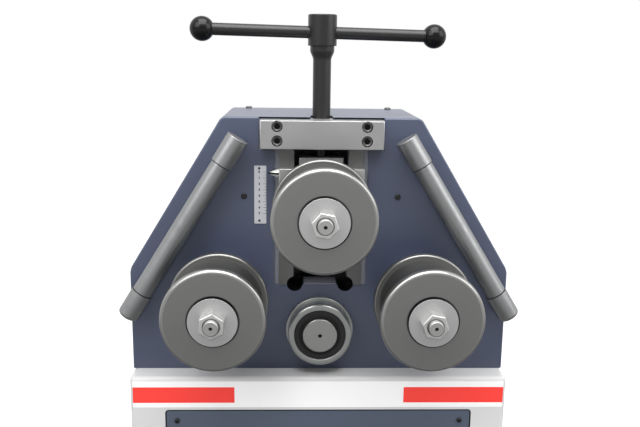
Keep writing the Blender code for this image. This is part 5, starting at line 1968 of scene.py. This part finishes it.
    def make_gland(self) -> None:
        """Build the cable inlet on the stand's back."""
        x, z, radius = self.gland
        at, (deep, narrow) = (x, self.rear, z), self.gland_inside
        inside = -self.wall - deep
        body = [(inside, radius * narrow), (inside, radius)]
        body += [(out, radius * share) for out, share in self.gland_nose]
        ends = [(x, self.rear + way * self.gland_reach, z) for way in (-1, 1)]
        hole = rod(*ends, radius * self.gland_hole, Facets.SMALL)
        near, far, turn = self.gland_nut
        disc = spun(ring(near, far, radius * self.gland_broad), at, BACK, Facets.HEXAGON, turn)
        nut = combined(disc, [hole])
        shape = merged([spun(body, at, BACK, Facets.SCREW), nut])
        self.replace("mains_inlet_gland", "moulded", shape, DARK_PLASTIC, "dark_plastic")


@dataclass
class PowerUnit(SubAssembly):
    """Gear unit behind the head with its flange-mounted motor, cowl and terminal box."""

    front: float = 0.2133
    depth: float = 0.130
    half: float = 0.068
    bottom: float = -0.140
    height: float = 0.195
    corner: float = 0.020
    inset: float = 0.004
    rims: Pair = (0.012, 0.016)
    rim_edge: float = 0.0015
    drive_z: float = -0.0719375
    bore: float = 0.0178
    bore_short: float = 0.02
    cover: Pair = (0.046, 0.005)
    cover_edge: float = 0.002
    bolt_ring: float = 0.037
    bolt: Pair = (0.008, 0.004)
    plug: Pair = (0.013, 0.006)
    vent: Pair = (0.013, 0.008)
    plug_inset: float = 0.030
    vent_y: float = 0.05
    motor_z: float = -0.0049375
    motor: float = 0.060
    motor_core: float = 0.051
    motor_flange: float = 0.059
    motor_drum: float = 0.054
    bell: Point = (0.020, 0.026, 0.006)
    motor_length: float = 0.165
    flange_width: float = 0.010
    flange_edge: float = 0.002
    fins: int = 36
    fin_half: float = 0.0011
    fin_ends: Pair = (0.024, 0.002)
    fin_edge: float = 0.0006
    cowl_length: float = 0.050
    cowl: float = 0.0625
    cowl_wall: float = 0.002
    cowl_slope: Pair = (0.010, 0.012)
    cowl_bend: Pair = (0.5, 0.6)
    fan: Profile = ((0.004, 0), (0.004, 0.050), (0.030, 0.046), (0.030, 0))
    vents: int = 20
    vent_half: float = 0.0018
    vent_inner: float = 0.016
    vent_ends: Pair = (0.006, 0.005)
    terminal: Point = (0.090, 0.070, 0.042)
    terminal_start: float = 0.022
    lid: float = 0.012
    lid_gap: float = 0.0008
    lid_overhang: float = 0.002
    lid_corner: float = 0.006
    lid_edge: float = 0.0025
    tub_corner: float = 0.005
    lid_screw: Pair = (0.003, 0.0012)
    lid_screw_inset: float = 0.009
    lid_screw_sunk: float = 0.0004

    def __post_init__(self) -> None:
        """Work out the gear unit's rear and top and the motor's line."""
        self.rear, self.top = self.front + self.depth, self.bottom + self.height
        self.y = self.front + self.depth / 2
        self.at = (0.0, self.y, self.motor_z)
        self.start = self.half + GAP

    def build(self) -> None:
        """Build every piece of the power unit."""
        self.make_gear_unit()
        self.make_gear_bolts()
        self.make_motor()
        self.make_cowl()
        self.make_terminal_box()

    def make_gear_unit(self) -> None:
        """Build the cast gear case with its flanges, and its output cover."""
        rear, top, inset = self.rear, self.top, self.inset
        height = (self.bottom + inset, top - inset)
        core = wide(self.half - inset, (self.front, rear - inset), height)
        softened(core, spans(Axis.Y), self.corner, 8)
        rims = []
        for near, far in ((self.front, self.front + self.rims[0]), (rear - self.rims[1], rear)):
            rim = wide(self.half, (near, far), (self.bottom, top))
            softened(rim, spans(Axis.Y), self.corner, 8)
            rims.append(softened(rim, on_plane(Axis.Y, far), self.rim_edge))
        shape = combined(core, rims, "UNION")
        z = self.drive_z
        bore = rod((0, self.front - PAST, z), (0, rear - self.bore_short, z), self.bore)
        shape = combined(shape, [bore])
        self.make("gear_case_cast", shape, CAST_IRON, "cast_grey", "gear_reducer")
        radius, thick = self.cover
        rounds = [(rear + thick, radius, self.cover_edge, 4)]
        cover = spun(ring(rear - OVER, rear + thick, radius), (0, 0, z), BACK, rounds=rounds)
        self.make("gear_case_cover", cover, CAST_IRON, "cast_grey")

    def make_gear_bolts(self) -> None:
        """Build the output cover's four bolts and the two oil plugs."""
        face, side = self.rear + self.cover[1], self.half - self.plug_inset
        bolts = []
        for quarter in range(4):
            turn = radians(45 + 90 * quarter)
            x, z = cos(turn) * self.bolt_ring, self.drive_z + sin(turn) * self.bolt_ring
            bolts.append(hexagon_bolt((x, face, z), BACK, *self.bolt))
        low = (side, self.rear, self.top - self.plug_inset)
        bolts.append(hexagon_bolt(low, BACK, *self.plug))
        high = (-side, self.rear - self.vent_y, self.top - self.inset)
        bolts.append(hexagon_bolt(high, UP, *self.vent))
        self.make("gear_case_bolts", merged(bolts), ZINC, "bright_steel")

    def make_motor(self) -> None:
        """Build the motor: flange, end bell and a drum with straight cooling fins."""
        start, end, core = self.start, self.start + self.motor_length, self.motor_core
        flange, face, drum = self.motor_flange, start + self.flange_width, self.motor_drum
        neck, shoulder = start + self.bell[0], start + self.bell[1]
        profile = [
            (start, 0), (start, flange), (face, flange), (face, core), (neck, core), (neck, drum),
            (shoulder, drum), (end - self.bell[2], drum), (end, drum), (end, 0),
        ]
        parts = [spun(profile, self.at, ACROSS, rounds=[(face, flange, self.flange_edge, 3)])]
        first, last = self.fin_ends
        for number in range(self.fins):
            low = (start + first, -self.fin_half, core)
            fin = box(low, (end - last, self.fin_half, self.motor))
            softened(fin, lambda e: True, self.fin_edge, 1)
            parts.append(turned_about(fin, self.at, 2 * pi * (number + 0.5) / self.fins))
        self.replace("motor_body", "finned", merged(parts), MOTOR_PAINT, "motor_paint")

    def make_cowl(self) -> None:
        """Build the fan cowl with its radial air slots."""
        start = self.start + GAP + self.motor_length
        end, wall = start + self.cowl_length, self.cowl_wall
        inner, (back, drop), (first, second) = self.cowl - wall, self.cowl_slope, self.cowl_bend
        profile = [
            (end, 0), (end - wall, 0), (end - wall, self.cowl - drop - wall * first),
            (end - back - wall * second, inner), (start, inner), (start, self.cowl),
            (end - back, self.cowl), (end, self.cowl - drop), (end, 0),
        ]
        tools = []
        for number in range(self.vents):
            low = (end - self.vent_ends[0], -self.vent_half, self.vent_inner)
            high = (end + self.vent_ends[1], self.vent_half, self.cowl - self.vent_inner)
            slot = box(low, high)
            tools.append(turned_about(slot, self.at, 2 * pi * number / self.vents))
        shape = combined(spun(profile, self.at, ACROSS), tools)
        blades = [(start + along, radius) for along, radius in self.fan]
        fan = spun(blades, self.at, ACROSS, Facets.SMALL)
        shape = merged([shape, fan])
        self.replace("motor_fan_cowl", "moulded", shape, DARK_PLASTIC, "dark_plastic")

    def make_terminal_box(self) -> None:
        """Build the terminal box with its lid and screws."""
        wide_half, deep_half = self.terminal[0] / 2, self.terminal[1] / 2
        y, z, first = self.y, self.motor_z, self.terminal_start
        middle = self.start + first + (self.motor_length - first) / 2
        top = z + self.motor + self.terminal[2]
        low, play = z + (self.motor**2 - deep_half**2) ** 0.5, self.lid_overhang
        tub = box(
            (middle - wide_half + play, y - deep_half + play, low),
            (middle + wide_half - play, y + deep_half - play, top - self.lid),
        )
        softened(tub, spans(Axis.Z), self.tub_corner, 4)
        reach = self.terminal[0]
        tool = rod((middle - reach, y, z), (middle + reach, y, z), self.motor + GAP)
        tub = combined(tub, [tool])
        cap = box(
            (middle - wide_half, y - deep_half, top - self.lid + self.lid_gap),
            (middle + wide_half, y + deep_half, top),
        )
        softened(cap, spans(Axis.Z), self.lid_corner, 4)
        softened(cap, on_plane(Axis.Z, top), self.lid_edge, 4)
        shape = merged([tub, cap])
        self.replace("motor_terminal_box", "moulded", shape, DARK_PLASTIC, "dark_plastic")
        x, y_reach = wide_half - self.lid_screw_inset, deep_half - self.lid_screw_inset
        seat = top - self.lid_screw_sunk
        screws = [
            fastener((middle + right * x, y + back * y_reach, seat), UP, self.lid_screw)
            for right in (-1, 1)
            for back in (-1, 1)
        ]
        self.make("terminal_box_screws", merged(screws), ZINC, "bright_steel")


@dataclass(frozen=True)
class Lamp:
    """One square soft lamp: its name, place, aim, side in metres and power in watts."""

    name: str
    at: Point
    aim: Point
    size: float
    power: float

    def hang(self) -> None:
        """Hang the lamp."""
        data = bpy.data.lights.new(self.name, "AREA")
        data.shape = "SQUARE"
        data.size = self.size
        data.energy = self.power
        lamp = bpy.data.objects.new(self.name, data)
        lamp.location = self.at
        way = Vector(self.aim) - Vector(self.at)
        lamp.rotation_euler = way.to_track_quat("-Z", "Y").to_euler()
        bpy.context.scene.collection.objects.link(lamp)


@dataclass
class Studio:
    """Plain pale floor, soft lamps, white surroundings and the photograph's camera."""

    camera_at: Point = (-0.0452, -1.37955, 1.2413)
    pitch: float = 0.203
    yaw: float = 0.034
    roll: float = 0.013
    focal_pixels: float = 786.0
    image_width: int = 640
    lamps: tuple[Lamp, ...] = (
        Lamp("key_lamp", (-2.0, -2.2, 3.0), (0.0, 0.0, 0.95), 2.4, 63.0),
        Lamp("fill_lamp", (2.7, -1.2, 2.4), (0.0, 0.0, 0.95), 2.2, 43.0),
        Lamp("top_lamp", (0.1, -0.9, 3.3), (0.0, 0.0, 1.0), 2.4, 112.0),
    )
    sky: float = 0.45
    # Ranges of distance from the machine or of direction, and the strengths at their two ends.
    mirrored: tuple[Pair, Pair] = ((1.0, 4.0), (0.19, 0.80))
    glow: tuple[Pair, Pair] = ((0.5, 1.2), (0.50, 0.88))
    backward: tuple[Pair, Pair] = ((-0.5, 0.4), (0.50, 1.0))
    upward: tuple[Pair, Pair] = ((0.0, 0.9), (0.0, 0.5))
    paper: str = "D8D8D8"
    seen_paper: str = "A8A8A8"
    white: str = "FFFFFF"
    floor_half: float = 12.0
    floor_sunk: float = 0.0005

    def build(self) -> None:
        """Set up the camera, lamps, floor and world."""
        scene = bpy.context.scene
        scene.view_settings.view_transform = "Standard"
        scene.camera = self.make_camera()
        for lamp in self.lamps:
            lamp.hang()
        self.make_floor()
        self.make_world()

    def make_camera(self) -> bpy.types.Object:
        """Place the camera as fitted to the photograph.

        Returns:
            The camera object.
        """
        forward = Vector(
            (sin(self.yaw) * cos(self.pitch), cos(self.yaw) * cos(self.pitch), -sin(self.pitch))
        )
        level = Vector((cos(self.yaw), -sin(self.yaw), 0))
        upright = level.cross(forward)
        right = level * cos(self.roll) + upright * sin(self.roll)
        up = upright * cos(self.roll) - level * sin(self.roll)
        data = bpy.data.cameras.new("photo_camera")
        data.sensor_fit = "HORIZONTAL"
        data.sensor_width = 36.0
        data.lens = self.focal_pixels / self.image_width * data.sensor_width
        data.clip_end = 100.0
        camera = bpy.data.objects.new("photo_camera", data)
        columns = Matrix((right, up, -forward)).transposed().to_4x4()
        camera.matrix_world = Matrix.Translation(self.camera_at) @ columns
        bpy.context.scene.collection.objects.link(camera)
        return camera

    def make_floor(self) -> None:
        """Lay the pale floor, which keeps the machine's shadow and otherwise shows as white."""
        shape = bmesh.new()
        bmesh.ops.create_grid(shape, x_segments=1, y_segments=1, size=self.floor_half)
        floor = as_object(shape, "studio_floor")
        floor.location.z = -self.floor_sunk
        made = bpy.data.materials.new("studio_floor_paper")
        made.use_nodes = True
        graph = Graph(made.node_tree)
        graph.tree.nodes.remove(graph.tree.nodes["Principled BSDF"])
        seen = graph.put("LightPath").outputs
        away = graph.vector("LENGTH", graph.put("TexCoord").outputs["Object"])["Value"]
        far = graph.lit("Emission", self.white, graph.ranged(away, *self.mirrored))
        mirrored = graph.calc("MAXIMUM", seen["Is Glossy Ray"], seen["Is Transmission Ray"])
        paper, pale = (
            graph.put("BsdfDiffuse", {"Color": linear(code)}).outputs[0]
            for code in (self.paper, self.seen_paper)
        )
        lifted = graph.ranged(away, *self.glow, interpolation_type="SMOOTHERSTEP")
        glow = graph.lit("Emission", self.white, lifted)
        shown = graph.put("AddShader", {0: pale, 1: glow}).outputs[0]
        mixed = graph.chosen(seen["Is Camera Ray"], graph.chosen(mirrored, paper, far), shown)
        graph.tree.links.new(mixed, graph.tree.nodes["Material Output"].inputs["Surface"])
        floor.data.materials.append(made)

    def make_world(self) -> None:
        """Surround the machine: white to the eye and in metal, an even sky as light."""
        world = bpy.data.worlds.new("studio_surroundings")
        world.use_nodes = True
        graph = Graph(world.node_tree)
        even = graph.tree.nodes["Background"]
        even.inputs["Color"].default_value = linear(self.white)
        even.inputs["Strength"].default_value = self.sky
        white = graph.lit("Background", self.white, 1.0)
        seen = graph.put("LightPath").outputs
        either = graph.calc("MAXIMUM", seen["Is Camera Ray"], seen["Is Transmission Ray"])
        parts = graph.separated(graph.put("TexCoord").outputs["Generated"])
        backward = graph.ranged(parts["Y"], *self.backward)
        level = graph.calc("ADD", backward, graph.ranged(parts["Z"], *self.upward))
        glossy = graph.lit("Background", self.white, graph.calc("MINIMUM", level, 1.0))
        metal = graph.chosen(seen["Is Glossy Ray"], even.outputs[0], glossy)
        mixed = graph.chosen(either, metal, white)
        graph.tree.links.new(mixed, graph.tree.nodes["World Output"].inputs["Surface"])
        bpy.context.scene.world = world


def layout_origin() -> Vector:
    """Find where the machine's layout starts in the frame.

    Returns:
        The place of the layout's zero point.
    """
    low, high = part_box("head_cover")
    return Vector(((low.x + high.x) / 2, low.y, high.z - HeadCasing.top))


def main() -> None:
    """Build the studio and every group of the machine."""
    logging.basicConfig(level=logging.INFO, format="%(message)s")
    origin = layout_origin()
    Studio().build()
    shaft_x = DriveTrain.shaft_x
    groups = [
        Stand(origin), HeadCasing(origin), Bridge(origin), SlideWay(origin), SideBars(origin),
        DriveTrain(origin), PowerUnit(origin), Carriage(origin),
        Roll(origin, "top", Body.TOP_ROLL, 0.0, Carriage.axis_z, radians(12), UPPER_JOURNAL),
        Roll(origin, "lower_left", Body.LEFT_ROLL, -shaft_x, 0.0, radians(34), LOWER_JOURNAL),
        Roll(origin, "lower_right", Body.RIGHT_ROLL, shaft_x, 0.0, radians(11), LOWER_JOURNAL),
        LiftSpindle(origin),
    ]
    for group in groups:
        group.build()


if __name__ == "__main__":
    main()
